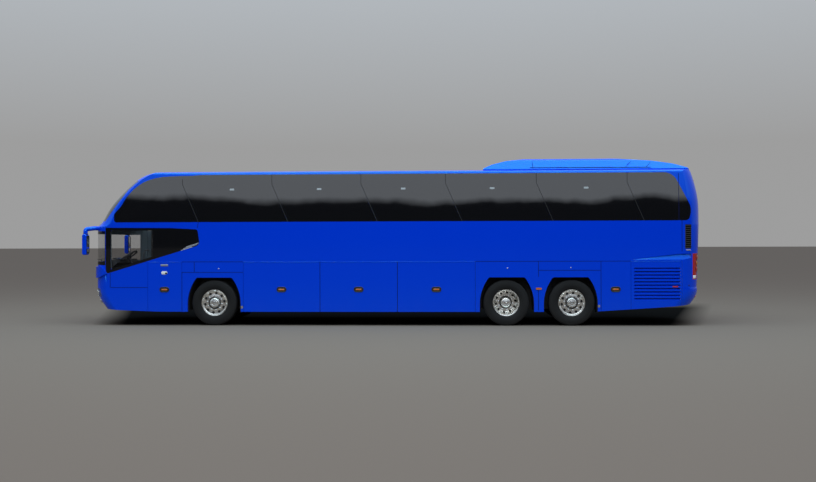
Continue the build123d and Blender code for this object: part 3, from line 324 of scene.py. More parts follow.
def paint_material():
    """Gloss paint outside; the faces that look into the cabin or the bays have a matt grey lining."""
    material = gloss_paint("royal_blue_gloss")
    tree = material.node_tree
    shader = tree.nodes["Principled BSDF"]
    coords = add_node(tree, "ShaderNodeTexCoord")
    place = add_node(tree, "ShaderNodeSeparateXYZ")
    facing = add_node(tree, "ShaderNodeSeparateXYZ")
    tree.links.new(coords.outputs["Object"], place.inputs[0])
    tree.links.new(coords.outputs["Normal"], facing.inputs[0])
    masks = []
    for axis, nearest in (("X", LINED_END_X), ("Y", LINED_SIDE_Y)):
        sign = math_node(tree, "SIGN", place.outputs[axis])
        inward = math_node(tree, "MULTIPLY", math_node(tree, "MULTIPLY", facing.outputs[axis], sign), -1.0)
        beyond = math_node(tree, "GREATER_THAN", math_node(tree, "ABSOLUTE", place.outputs[axis]), nearest)
        masks.append(math_node(tree, "MULTIPLY", inward, beyond))
    overhead = math_node(tree, "GREATER_THAN", place.outputs["Z"], LINED_ROOF_Z)
    downward = math_node(tree, "MULTIPLY", facing.outputs["Z"], -1.0)
    masks.append(math_node(tree, "MULTIPLY", downward, overhead))
    lined = math_node(tree, "GREATER_THAN", either(tree, *masks), 0.6)
    coloured = shader.inputs["Base Color"].links[0].from_socket
    tree.links.new(mix_colour(tree, lined, coloured, LINING_GREY), shader.inputs["Base Color"])
    rough = shader.inputs["Roughness"].links[0].from_socket
    tree.links.new(math_node(tree, "MAXIMUM", rough, math_node(tree, "MULTIPLY", lined, 0.7)),
                   shader.inputs["Roughness"])
    tree.links.new(map_range(tree, lined, 0.0, 1.0, 0.15, 0.0), shader.inputs["Coat Weight"])
    return material


def windscreen_material():
    """Clear screens with a black printed border where they lie on their frames."""
    material = glass_material("windscreen_glass", (0.004, 0.005, 0.005, 1), 0.02, SCREEN_ALPHA)
    tree = material.node_tree
    x, y, z = place_of(tree)
    upper = math_node(tree, "GREATER_THAN", z, SCREENS_PART_Z)
    lower = math_node(tree, "LESS_THAN", z, SCREENS_PART_Z)
    low_border = either(tree, math_node(tree, "LESS_THAN", z, LOW_SCREEN_FOOT_Z),
                        math_node(tree, "GREATER_THAN", z, LOW_SCREEN_TOP_Z),
                        math_node(tree, "GREATER_THAN", x, SCREEN_PILLAR_X))
    rise = math_node(tree, "MULTIPLY", math_node(tree, "SUBTRACT", z, HIGH_SCREEN_FOOT_Z), HIGH_SCREEN_TAPER)
    width = math_node(tree, "ADD", math_node(tree, "ABSOLUTE", y), rise)
    high_border = either(tree, math_node(tree, "LESS_THAN", z, HIGH_SCREEN_FOOT_Z),
                         math_node(tree, "GREATER_THAN", z, HIGH_SCREEN_TOP_Z),
                         math_node(tree, "GREATER_THAN", width, HIGH_SCREEN_HALF))
    border = either(tree, math_node(tree, "MULTIPLY", lower, low_border),
                    math_node(tree, "MULTIPLY", upper, high_border))
    alpha = map_range(tree, border, 0.0, 1.0, SCREEN_ALPHA, 1.0)
    tree.links.new(alpha, tree.nodes["Principled BSDF"].inputs["Alpha"])
    return material


MATERIALS = {
    "body_paint": paint_material(),
    "tinted_glass": glass_material("privacy_glass", (0.002, 0.002, 0.003, 1), 0.02, 0.97,
                                   Specular_IOR_Level=1.0, Coat_Weight=1.0, Coat_Roughness=0.01,
                                   Coat_IOR=1.6),
    "clear_glass": windscreen_material(),
    "lamp_clear": glass_material("lamp_cover", (0.16, 0.18, 0.22, 1), 0.04, 0.35),
    "lamp_red": finish_material("red_lens", RED_LENS, 0.12, spread=0.02, Coat_Weight=0.6),
    "lamp_orange": finish_material("orange_lens", ORANGE_LENS, 0.12, spread=0.02, Coat_Weight=0.6),
    "black_plastic": finish_material("grained_black_plastic", BLACK_PLASTIC, 0.55, grain_bump=0.3, dust=0.5),
    "chassis_paint": finish_material("chassis_black", CHASSIS_BLACK, 0.5, grain_bump=0.15, dust=0.6),
    "floor_covering": finish_material("floor_covering", (0.06, 0.06, 0.065, 1), 0.7, grain_bump=0.3),
    "dash_plastic": finish_material("dash_plastic", (0.035, 0.035, 0.038, 1), 0.6, grain_bump=0.4),
    "cast_iron": finish_material("painted_casting", CAST_GREY, 0.6, grain_scale=120.0, grain_bump=0.4,
                                 grain_depth=0.001, dust=0.7),
    "tyre_rubber": finish_material("tyre_rubber", TYRE_BLACK, 0.75, grain_scale=200.0, grain_bump=0.25,
                                   dust=0.05, dust_top=1.0, Specular_IOR_Level=0.25),
    "polished_alloy": finish_material("polished_alloy", POLISHED, 0.2, 1.0, grain_scale=60.0,
                                      grain_bump=0.04, spread=0.18),
}


def fabric_material():
    """Woven seat cover with sheen."""
    material, shader = new_material("seat_moquette", (0.03, 0.04, 0.1, 1), 0.85, Sheen_Weight=0.4)
    tree = material.node_tree
    weave = place_group(tree, "weave", Scale=260.0)
    tree.links.new(weave.outputs["Color"], shader.inputs["Base Color"])
    add_bump(tree, shader, weave.outputs["Height"], 0.3, 0.0006)
    return material


def cab_glass_material():
    """The driver's window: clear ahead of the door post and dark behind it, told apart by station."""
    material = glass_material("driver_window", (0.004, 0.004, 0.005, 1), 0.03, 1.0)
    tree = material.node_tree
    x, _, z = place_of(tree)
    behind = map_range(tree, x, -5.52, -5.46, CAB_ALPHA, 0.985)
    ahead = math_node(tree, "LESS_THAN", x, CAB_FRONT_X)
    reach = math_node(tree, "SUBTRACT", x, CAB_FRONT_X)
    top = math_node(tree, "ADD", math_node(tree, "MULTIPLY", reach, CAB_TOP_SLOPE), CAB_TOP_Z)
    foot = math_node(tree, "ADD", math_node(tree, "MULTIPLY", reach, CAB_FOOT_SLOPE), CAB_FOOT_Z)
    alpha = either(tree, behind, ahead, math_node(tree, "GREATER_THAN", z, top),
                   math_node(tree, "LESS_THAN", z, foot))
    tree.links.new(alpha, tree.nodes["Principled BSDF"].inputs["Alpha"])
    return material


MATERIALS["seat_fabric"] = fabric_material()
CAB_GLASS = cab_glass_material()
DOOR_GLASS = glass_material("door_glass", (0.004, 0.005, 0.005, 1), 0.02, DOOR_ALPHA)
PLAIN_PAINT = gloss_paint("royal_blue_plain")
SEAM_SHADOW = finish_material("seam_shadow", (0.0, 0.003, 0.045, 1), 0.7, grain_bump=0.05,
                              Specular_IOR_Level=0.1)
# near black for the brake drums, and for the rings of painted shade at the hub grooves and hand holes
DRUM_BLACK_AND_PAINTED_SHADE = finish_material("brake_drum_and_painted_shade", (0.010, 0.010, 0.010, 1), 0.7, grain_bump=0.3)
STRIPE_PALE = finish_material("stripe_pale", (0.46, 0.47, 0.52, 1), 0.4, grain_bump=0.05)
LABEL_DARK = finish_material("label_dark", (0.075, 0.075, 0.12, 1), 0.4, grain_bump=0.05)
RAIL_GREY = finish_material("rail_grey", (0.10, 0.10, 0.105, 1), 0.35, grain_bump=0.1)
CHROME = finish_material("bright_chrome", (0.72, 0.73, 0.75, 1), 0.16, 1.0, grain_scale=90.0, grain_bump=0.03,
                         spread=0.1)
SEAL_RUBBER = finish_material("seal_rubber", (0.006, 0.006, 0.007, 1), 0.7, grain_bump=0.2)
LABEL = finish_material("pale_label", (0.34, 0.37, 0.39, 1), 0.4, grain_bump=0.05)
HANDLE_BLACK = finish_material("handle_black", (0.006, 0.006, 0.007, 1), 0.45, grain_bump=0.2)
PLATE_WHITE = finish_material("blank_plate", (0.72, 0.72, 0.70, 1), 0.35, grain_scale=700.0, grain_bump=0.08)
LENS_GLASS = finish_material("lens_glass", (0.80, 0.82, 0.84, 1), 0.06, spread=0.03, grain_bump=0.02,
                             Coat_Weight=0.5)
MIRROR_GLASS = finish_material("mirror_silver", (0.55, 0.58, 0.62, 1), 0.03, 1.0, spread=0.01,
                               grain_bump=0.005)
SCREEN = finish_material("screen_black", (0.008, 0.009, 0.011, 1), 0.12, spread=0.02, grain_bump=0.02)
RACK_GREY = finish_material("rack_laminate", (0.20, 0.20, 0.205, 1), 0.5, grain_bump=0.2)
RAIL_YELLOW = finish_material("safety_yellow", (0.75, 0.42, 0.02, 1), 0.35, grain_bump=0.1)


def dress_nodes():
    """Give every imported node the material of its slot."""
    for part in frame["record"]["subparts"]:
        node = NODES[part["node"]]
        node.data.materials.clear()
        node.data.materials.append(MATERIALS[part["material_slot"]])
    special = {"cab_glass": CAB_GLASS, "front_door_glass": DOOR_GLASS}
    special.update({name: PLAIN_PAINT for name in ("mirrors", "air_conditioner", "brow", "bumper")})
    for name, material in special.items():
        NODES[name].data.materials.clear()
        NODES[name].data.materials.append(material)


dress_nodes()


# Mesh building: a shape is a list of points and a list of faces; STEPS is the facets of a turned part

STEPS = 24
X_AXIS = Vector((1, 0, 0))
Y_AXIS = Vector((0, 1, 0))
Z_AXIS = Vector((0, 0, 1))


def shifted(place, along=0.0, up=0.0, out=0.0):
    """A place moved along its own axes; a place is a point, two tangents and the outward normal."""
    return place[0] + place[1] * along + place[2] * up + place[3] * out, *place[1:]


def join(shapes):
    """Several shapes as one."""
    points, faces = [], []
    for shape_points, shape_faces in shapes:
        start = len(points)
        points += shape_points
        faces += [tuple(index + start for index in face) for face in shape_faces]
    return points, faces


def rings_shape(rings, closed_ends=True, closed_loop=False):
    """Skin rings of equal length one after the other; the first and last are capped."""
    count = len(rings[0])
    points = [Vector(point) for ring in rings for point in ring]
    faces = []
    pairs = len(rings) if closed_loop else len(rings) - 1
    for index in range(pairs):
        near = index * count
        far = ((index + 1) % len(rings)) * count
        for step in range(count):
            after = (step + 1) % count
            faces.append((near + step, near + after, far + after, far + step))
    if closed_ends and not closed_loop:
        faces.append(tuple(reversed(range(count))))
        faces.append(tuple(range((len(rings) - 1) * count, len(rings) * count)))
    return points, faces


def box(low, high):
    """A plain box between its low and high corners."""
    (x0, y0, z0), (x1, y1, z1) = low, high
    lower = [(x0, y0, z0), (x1, y0, z0), (x1, y1, z0), (x0, y1, z0)]
    upper = [(x0, y0, z1), (x1, y0, z1), (x1, y1, z1), (x0, y1, z1)]
    return rings_shape([lower, upper])


def rounded_outline(half_u, half_v, radius, steps=5):
    """The points of a rounded rectangle, counter-clockwise."""
    points = []
    for quarter, (sign_u, sign_v) in enumerate(((1, 1), (-1, 1), (-1, -1), (1, -1))):
        for step in range(steps + 1):
            angle = (quarter + step / steps) * math.pi / 2
            points.append((sign_u * (half_u - radius) + radius * math.cos(angle),
                           sign_v * (half_v - radius) + radius * math.sin(angle)))
    return points


def pad(place, half_u, half_v, radius, low, high, bevel=0.0, steps=5):
    """A rounded plate on a surface from depth low to height high, its outer edge bevelled."""
    origin, along, up, out = place
    rows = [(low, 0.0), (high - bevel, 0.0)]
    if bevel:
        rows += [(high - 0.3 * bevel, 0.3 * bevel), (high, bevel)]
    rings = []
    for height, inset in rows:
        outline = rounded_outline(half_u - inset, half_v - inset, max(radius - inset, 1e-4), steps)
        rings.append([origin + along * u + up * v + out * height for u, v in outline])
    return rings_shape(rings)


def round_part(place, rows, steps=STEPS):
    """A turned part standing on a surface; rows are height and radius."""
    origin, along, up, out = place
    rings = []
    for height, radius in rows:
        rings.append([
            origin + out * height + along * (radius * math.cos(turn)) + up * (radius * math.sin(turn))
            for turn in (2 * math.pi * step / steps for step in range(steps))
        ])
    return rings_shape(rings)


def ring_part(place, rows, steps=STEPS):
    """A turned ring with an open middle; rows of height and radius go round its section."""
    origin, along, up, out = place
    rings = []
    for step in range(steps):
        turn = 2 * math.pi * step / steps
        arm = along * math.cos(turn) + up * math.sin(turn)
        rings.append([origin + out * height + arm * radius for height, radius in rows])
    points, faces = rings_shape(rings, closed_loop=True)
    return points, [tuple(reversed(face)) for face in faces]


def rim_part(place, outer, inner, profile):
    """A raised rim between two outlines; its profile's rows are share inwards and height."""
    origin, along, up, out = place
    rings = []
    for (outer_u, outer_v), (inner_u, inner_v) in zip(outer, inner):
        rings.append([
            origin + along * (outer_u + (inner_u - outer_u) * share)
            + up * (outer_v + (inner_v - outer_v) * share) + out * height
            for share, height in profile
        ])
    return rings_shape(rings, closed_loop=True)


def oval_rim(place, half_u, half_v, width, height):
    """A raised rim round an oval plate."""
    foot, shoulder = 0.002, 0.6 * height
    outer = rounded_outline(half_u, half_v, half_v - 0.0005, 6)
    inner = rounded_outline(half_u - width, half_v - width, half_v - width - 0.0005, 6)
    return rim_part(place, outer, inner, ((0, foot), (0, shoulder), (0.5, height), (1, shoulder), (1, foot)))


def tube(path, radius, steps=10):
    """A round bar along a path of points."""
    spots = [Vector(point) for point in path]
    rings = []
    normal = None
    for index, spot in enumerate(spots):
        before = spots[max(index - 1, 0)]
        after = spots[min(index + 1, len(spots) - 1)]
        heading = (after - before).normalized()
        if normal is None:
            normal = heading.orthogonal().normalized()
        normal = (normal - heading * normal.dot(heading)).normalized()
        other = heading.cross(normal)
        rings.append([
            spot + normal * (radius * math.cos(turn)) + other * (radius * math.sin(turn))
            for turn in (2 * math.pi * step / steps for step in range(steps))
        ])
    return rings_shape(rings)


def build_mesh(name, shapes):
    """A mesh from shapes, its normals outward."""
    points, faces = join(shapes)
    mesh = bpy.data.meshes.new(name)
    mesh.from_pydata([tuple(point) for point in points], [], faces)
    build = bmesh.new()
    build.from_mesh(mesh)
    bmesh.ops.recalc_face_normals(build, faces=build.faces)
    build.to_mesh(mesh)
    build.free()
    return mesh


def link_object(name, data):
    """An object in the scene."""
    item = bpy.data.objects.new(name, data)
    bpy.context.collection.objects.link(item)
    return item


def add_piece(name, shapes, body, slot, material=None, smooth=True, replaces=()):
    """Build a mesh from shapes, dress it and let it ride on a body."""
    mesh = build_mesh(name, shapes)
    if smooth:
        mesh.shade_smooth()
        mesh.set_sharp_from_angle(angle=math.radians(35))
    mesh.materials.append(material or MATERIALS[slot])
    piece = link_object(name, mesh)
    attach(piece, body)
    if replaces:
        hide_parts(*replaces)
    return piece


# Places on the coach's skin

def skin_of(*names):
    """A search tree over the meshes of the named nodes."""
    points, faces = [], []
    for name in names:
        mesh = NODES[name].data
        start = len(points)
        points += [NODES[name].matrix_world @ vertex.co for vertex in mesh.vertices]
        faces += [tuple(index + start for index in polygon.vertices) for polygon in mesh.polygons]
    return BVHTree.FromPolygons(points, faces)


SHELL_NODES = ("front_cap", "front_fascia", "bumper", "left_wall", "right_wall", "rear_cap", "roof",
               "side_glass", "cab_glass", "windscreens", "rear_window", "headlamps", "tail_lamps",
               "front_door", "mid_door", "front_door_glass", "mid_door_glass", "engine_lid",
               "service_flap_left", "louvre_flap_left", "luggage_flap_left_1", "luggage_flap_left_2",
               "luggage_flap_left_3", "luggage_flap_right_1", "luggage_flap_right_2")
SKIN = skin_of(*SHELL_NODES)
POD_SKIN = skin_of("air_conditioner")
REACH = 12.0
# view: where the search starts, which way it goes, and which way the place's first axis points
VIEWS = {
    "left": (Y_AXIS, X_AXIS),
    "right": (-Y_AXIS, -X_AXIS),
    "front": (X_AXIS, -Y_AXIS),
    "rear": (-X_AXIS, Y_AXIS),
    "top": (-Z_AXIS, X_AXIS),
}
SIDES = ((-1, "left"), (1, "right"))


def spot(view, first, second, skin=SKIN):
    """A place on the skin of the body or of the roof unit.

    The sides take station and height, the ends take width and height, the top takes station and width.
    """
    inward, along = VIEWS[view]
    if view in ("left", "right"):
        start = Vector((first, 0, second)) - inward * REACH
    elif view in ("front", "rear"):
        start = Vector((0, first, second)) - inward * REACH
    else:
        start = Vector((first, second, 0)) - inward * REACH
    hit, normal, _, _ = skin.ray_cast(start, inward)
    if normal.dot(inward) > 0:
        normal = -normal
    up = Y_AXIS if view == "top" else Z_AXIS
    first_axis = up.cross(normal).normalized()
    if first_axis.dot(along) < 0:
        first_axis = -first_axis
    return hit, first_axis, normal.cross(first_axis).normalized(), normal


SEAM_SUNK = 0.002
SEAM_PITCH = 0.06


def lifted(place, height):
    """A place moved outwards by a height."""
    return shifted(place, out=height)


def seam(view, first, second, width=0.005, proud=0.0006, skin=SKIN):
    """A thin closed strip along the skin between two places given as the view's coordinates."""
    length = math.dist(first, second)
    count = max(2, int(length / SEAM_PITCH) + 1)
    rings = []
    start = Vector(first)
    reach = Vector(second) - start
    places = [spot(view, *(start + reach * (step / (count - 1))), skin) for step in range(count)]
    for index, (point, _, _, out) in enumerate(places):
        before = places[max(index - 1, 0)][0]
        after = places[min(index + 1, count - 1)][0]
        across = out.cross((after - before).normalized()) * (width / 2)
        rings.append([
            point - across - out * SEAM_SUNK, point + across - out * SEAM_SUNK,
            point + across + out * proud, point - across + out * proud,
        ])
    return rings_shape(rings)


# The lower screen's corners: in the CAD its frame is closed there, here the glass is seen through

CORNER_X = (-7.100, SCREEN_PILLAR_X)
CORNER_Y = (1.090, 1.400)


def open_screen_corners():
    """The fascia once more, its screen opening carried round to the pillars of the driver's window."""
    source = NODES["front_fascia"]
    mesh = source.data.copy()
    mesh.transform(source.matrix_world)
    work = link_object("corner_work", mesh)
    boxes = []
    for side in (-1, 1):
        low, high = sorted((side * CORNER_Y[0], side * CORNER_Y[1]))
        boxes.append(box((CORNER_X[0], low, LOW_SCREEN_FOOT_Z), (CORNER_X[1], high, LOW_SCREEN_TOP_Z)))
    cutter = link_object("corner_cutter", build_mesh("corner_cutter", boxes))
    cut = work.modifiers.new("cut", "BOOLEAN")
    cut.operation = "DIFFERENCE"
    cut.object = cutter
    bpy.context.view_layer.update()
    opened = bpy.data.meshes.new_from_object(work.evaluated_get(bpy.context.evaluated_depsgraph_get()))
    for item in (work, cutter):
        bpy.data.objects.remove(item)
    opened.name = "open_fascia"
    piece = link_object("open_fascia", opened)
    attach(piece, "root")
    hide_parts("front_fascia")


# Tyres and wheel trim

AXLE_Z = 0.512
TYRE_Y = 1.111
TWIN_SPACING = 0.345
TREAD_RADIUS = 0.512
TREAD_PITCHES = 36
TREAD_HALF = 0.112
GROOVE_DEPTH = 0.012
GROOVE_TOP = 0.0065
GROOVE_FOOT = 0.004
SIPE_DEPTH = 0.006
# offset from the tyre's middle, radius, down the outer sidewall from the shoulder to the bead
SIDEWALL = (
    (0.1190, 0.5085), (0.1265, 0.5020), (0.1330, 0.4900), (0.1375, 0.4780), (0.1395, 0.4775),
    (0.1400, 0.4745), (0.1395, 0.4740), (0.1440, 0.4500), (0.1478, 0.4200), (0.1485, 0.4000),
    (0.1470, 0.3750), (0.1425, 0.3500), (0.1370, 0.3340), (0.1375, 0.3310), (0.1330, 0.3250),
    (0.1200, 0.3080), (0.1100, 0.2990), (0.1040, 0.2890),
)
GROOVES = (-0.076, -0.026, 0.026, 0.076)
# share of a pitch at which a ring of points stands, and which ribs are cut there
TREAD_STATIONS = ((0.0, ()), (0.34, ()), (0.37, (0, 2, 4)), (0.47, (0, 2, 4)),
                  (0.5, ()), (0.84, ()), (0.87, (1, 3)), (0.97, (1, 3)))


def tyre_rows():
    """The tyre's section: offset, radius and the rib that a point belongs to."""
    rows = [(-offset, radius, None) for offset, radius in reversed(SIDEWALL)]
    rows.append((-TREAD_HALF, TREAD_RADIUS, 0))
    groove_radius = TREAD_RADIUS - GROOVE_DEPTH
    for rib, centre in enumerate(GROOVES):
        rows += [(centre - GROOVE_TOP, TREAD_RADIUS, rib), (centre - GROOVE_FOOT, groove_radius, None),
                 (centre + GROOVE_FOOT, groove_radius, None), (centre + GROOVE_TOP, TREAD_RADIUS, rib + 1)]
    rows.append((TREAD_HALF, TREAD_RADIUS, len(GROOVES)))
    return rows + [(offset, radius, None) for offset, radius in SIDEWALL]


def tyre_shape(axle_x, middle_y):
    """One tyre with four grooves and cut ribs."""
    rows = tyre_rows()
    rings = []
    for pitch in range(TREAD_PITCHES):
        for share, cut in TREAD_STATIONS:
            turn = 2 * math.pi * (pitch + share) / TREAD_PITCHES
            ring = []
            for offset, radius, rib in rows:
                reach = radius - (SIPE_DEPTH if rib in cut and rib is not None else 0)
                ring.append(Vector((axle_x + reach * math.cos(turn), middle_y + offset,
                                    AXLE_Z + reach * math.sin(turn))))
            rings.append(ring)
    return rings_shape(rings, closed_loop=True)


NUT_CIRCLE = 0.1675
NUT_COUNT = 10
# axle, station, twin, offset of the nuts' seat, of the hub's face, radius of the hub's face
AXLES = (
    ("front", -4.060, False, 0.0935, 0.1465, 0.085),
    ("drive", 2.544, True, -0.1480, -0.0075, 0.085),
    ("tag", 4.003, False, 0.0935, 0.1465, 0.085),
)
NUT_ROWS = ((0, 0.0215), (0.004, 0.0215), (0.0045, 0.0165), (0.022, 0.0165), (0.0235, 0.0140))
STUD_ROWS = ((0.02, 0.0100), (0.0285, 0.0100), (0.0295, 0.0085))
CAP_BOLT_ROWS = ((-0.004, 0.0075), (0.004, 0.0075), (0.0055, 0.0055))
CAP_RIM_ROWS = ((-0.004, 0.056), (0.008, 0.058), (0.010, 0.062), (0.008, 0.066), (-0.004, 0.068))
CAP_ROWS = ((-0.004, 0.040), (0.009, 0.038), (0.0105, 0.030), (0.0105, 0.012), (0.008, 0.010))
# distance from the wheel's middle and height over the nuts' seat, along the valve's stem
VALVE_PATH = ((0.205, 0.001), (0.223, 0.013), (0.239, 0.018))
VALVE_TURN = math.radians(27)
WHEEL_TURN = math.radians(9)
# offset from the tyre's middle and radius, round the section of the brake drum
DRUM_ROWS = ((-0.085, 0.105), (0.045, 0.105), (0.055, 0.120), (0.055, 0.240), (0.045, 0.256), (-0.085, 0.256))
TWIN_DRUM_ROWS = ((-0.085, 0.155), (0.070, 0.155), (0.080, 0.165), (0.080, 0.242), (0.070, 0.256),
                  (-0.085, 0.256))
# height over the nuts' seat and radius of the dark ring of painted shade in the groove round the hub, on the
# drive and the other wheels
TWIN_GROOVE_SHADE = ((-0.003, 0.121), (0.0015, 0.121), (0.0015, 0.143), (-0.003, 0.143))
HUB_GROOVE_SHADE = ((0.002, 0.120), (0.0080, 0.120), (0.0060, 0.143), (0.000, 0.143))
# painted shade round the hand holes: a dark ring at each hole's edge
HOLE_COUNT = 10
HOLE_CIRCLE = 0.2245
HOLE_SHADE_RIM = ((-0.006, 0.0268), (0.0008, 0.0268), (0.0008, 0.0325), (-0.006, 0.0325))


def on_wheel(axle_x, side, offset):
    """The place in the wheel's middle, offset outwards from the outer tyre's middle."""
    return Vector((axle_x, side * (TYRE_Y + offset), AXLE_Z)), X_AXIS, Z_AXIS, Y_AXIS * side


def turned(place, turn, radius):
    """A place swung round its normal and out to a radius, its first tangent along the spoke."""
    centre, along, up, out = place
    arm = along * math.cos(turn) + up * math.sin(turn)
    return centre + arm * radius, arm, out.cross(arm), out


def hole_shade_rims(seat):
    """Dark rings of painted shade round the hand holes of a convex wheel."""
    turns = [2 * math.pi * step / HOLE_COUNT + WHEEL_TURN for step in range(HOLE_COUNT)]
    return [ring_part(turned(seat, turn, HOLE_CIRCLE), HOLE_SHADE_RIM, 20) for turn in turns]


def wheel_trim(seat, face, hub_radius):
    """Nuts, studs, hub cap bolts, the cap's ring and the valve of one wheel."""
    shapes = []
    for step in range(NUT_COUNT):
        turn = 2 * math.pi * (step + 0.5) / NUT_COUNT + WHEEL_TURN
        nut = turned(seat, turn, NUT_CIRCLE)
        for rows, sides in ((NUT_ROWS[:2], 16), (NUT_ROWS[2:], 6), (STUD_ROWS, 10)):
            shapes.append(round_part(nut, rows, sides))
        shapes.append(round_part(turned(face, turn, hub_radius), CAP_BOLT_ROWS, 6))
    shapes.append(ring_part(face, CAP_RIM_ROWS, 36))
    shapes.append(round_part(face, CAP_ROWS, 28))
    stem = [shifted(turned(seat, VALVE_TURN, radius), out=height)[0] for radius, height in VALVE_PATH]
    shapes.append(tube(stem, 0.004, 8))
    return shapes


def build_wheels():
    """The tyres in place of the plain ones, and the trim of every wheel."""
    for axle, axle_x, twin, nut_seat, hub_face, hub_radius in AXLES:
        for side, side_name in SIDES:
            body = f"wheel_{axle}_{side_name}"
            middles = [side * TYRE_Y] + ([side * (TYRE_Y - TWIN_SPACING)] if twin else [])
            tyres = [tyre_shape(axle_x, middle) for middle in middles]
            add_piece(f"tread_{axle}_{side_name}", tyres, body, "tyre_rubber",
                      replaces=(f"tyre_{axle}_{side_name}",))
            seat = on_wheel(axle_x, side, nut_seat)
            trim = wheel_trim(seat, on_wheel(axle_x, side, hub_face), hub_radius)
            add_piece(f"wheel_trim_{axle}_{side_name}", trim, body, "polished_alloy", CHROME)
            # a brake drum behind each wheel, and dark rings of painted shade in the hub's groove and, on the
            # convex wheels, round the hand holes
            if twin:
                drum = on_wheel(axle_x, side, -TWIN_SPACING)
                dark = [ring_part(drum, TWIN_DRUM_ROWS, 48), ring_part(seat, TWIN_GROOVE_SHADE, 48)]
            else:
                drum = on_wheel(axle_x, side, 0.0)
                dark = [ring_part(drum, DRUM_ROWS, 48), ring_part(seat, HUB_GROOVE_SHADE, 48), *hole_shade_rims(seat)]
            add_piece(f"drum_{axle}_{side_name}", dark, body, "cast_iron", DRUM_BLACK_AND_PAINTED_SHADE)


# Seams between panels that lie flush, and rubber in the joints of the panes

# sides, first station and height, second station and height
SIDE_SEAMS = (
    ("left", -6.452, 1.196, -6.452, 0.862), ("left", -6.440, 0.862, -5.590, 0.862),
    ("left", -4.514, 1.437, -4.514, 1.205), ("left", -4.798, 1.205, -3.400, 1.205),
    ("both", 3.261, 1.443, 3.261, 1.095), ("both", 3.261, 0.800, 3.261, 0.345),
    ("both", 4.647, 1.443, 4.647, 0.345), ("both", 3.261, 1.240, 4.647, 1.240),
    ("both", 6.434, 2.345, 6.434, 1.590), ("left", -4.798, 1.443, -3.400, 1.443),
    ("both", 1.860, 1.443, 5.300, 1.443), ("both", -4.440, 2.216, -4.419, 2.345),
    ("left", -4.798, 1.205, -4.798, 0.340), ("both", -4.789, 3.425, -4.789, 3.520),
    ("right", -4.798, 1.443, -3.400, 1.443), ("right", 0.110, 1.443, 0.890, 1.443),
    ("right", -5.440, 1.443, -4.798, 1.443), ("right", -4.798, 1.443, -4.798, 0.330),
    ("right", 5.306, 1.443, 5.306, 0.385), ("both", 6.370, 2.360, 6.370, 3.395),
)
PANE_JOINTS = (-4.789, -2.741, -0.716, 1.193, 3.223, 5.237)
JOINT_BEND_Z = 3.200
JOINT_LEAN = 0.370
BELT_Z = 2.345
HALF_WIDTH = 1.275
EDGE_Z = 3.477
EDGE_HALF = 1.229
SEAM_WIDTH = 0.011
LAMP_SEAM_Y = 1.030
# roof hatches: middle and half sizes in plan
HATCHES = ((-2.9, 0.0, 0.40, 0.35), (0.6, 0.0, 0.40, 0.35))


def wall_point(side, station, height, inset):
    """A point on the straight part of the side wall, set in by inset."""
    lean = max(0.0, height - BELT_Z) / (EDGE_Z - BELT_Z) * (HALF_WIDTH - EDGE_HALF)
    return Vector((station, side * (HALF_WIDTH - lean - inset), height))


def joint_rubber(side, station):
    """The black strip in one joint between two panes."""
    path = [(station + JOINT_LEAN, BELT_Z + 0.004), (station, JOINT_BEND_Z), (station, 3.412)]
    rings = []
    for x, z in path:
        outer = wall_point(side, x, z, 0.0012)
        inner = wall_point(side, x, z, 0.0075)
        half = Vector((0.0058, 0, 0))
        rings.append([inner - half, inner + half, outer + half, outer - half])
    return rings_shape(rings)


# Glass carried round the upper front corners, thin on the body's skin

# rows over the side glass's front corner: station and height of the outer end, then of the inner end
GLASS_CORNER = (
    (-6.236, 2.660, -6.200, 2.630), (-6.080, 2.918, -5.990, 2.860), (-5.925, 3.089, -5.820, 3.030),
    (-5.800, 3.187, -5.730, 3.090), (-5.675, 3.265, -5.620, 3.160), (-5.551, 3.314, -5.500, 3.200),
    (-5.426, 3.350, -5.380, 3.240), (-5.240, 3.381, -5.200, 3.270), (-4.991, 3.395, -4.970, 3.300),
    (-4.681, 3.400, -4.680, 3.330), (-4.371, 3.402, -4.371, 3.350),
)
# station of the pillar's front edge at heights up the upper screen
PILLAR_EDGE = (
    (2.374, -6.590), (2.593, -6.424), (2.841, -6.236), (3.089, -6.049), (3.197, -5.925), (3.290, -5.800),
)
SCREEN_EDGE_Y = 1.073
SCREEN_EDGE_LEAN = 0.064
PATCH_STEPS = 4
PATCH_ROWS = 8
PATCH_PROUD = 0.0015
PATCH_SUNK = 0.004
PATCH_REACH = 0.12


def between(rows):
    """The rows of numbers with further ones between each pair."""
    filled = []
    for near, far in zip(rows, rows[1:]):
        for step in range(PATCH_STEPS):
            filled.append([a + (b - a) * step / PATCH_STEPS for a, b in zip(near, far)])
    return filled + [list(rows[-1])]


def skin_patch(side, edges):
    """A thin closed sheet on the skin between two lines of points."""
    outward = Vector((-0.5, side, 0.3)).normalized()
    rings = []
    for first, last in edges:
        upper, lower = [], []
        for row in range(PATCH_ROWS + 1):
            share = row / PATCH_ROWS
            guess = first.lerp(last, share) + outward * (PATCH_REACH * share * (1 - share))
            hit, normal, _, _ = SKIN.find_nearest(guess)
            if normal.dot(outward) < 0:
                normal = -normal
            upper.append(hit + normal * PATCH_PROUD)
            lower.append(hit - normal * PATCH_SUNK)
        rings.append(upper + lower[::-1])
    return rings_shape(rings)


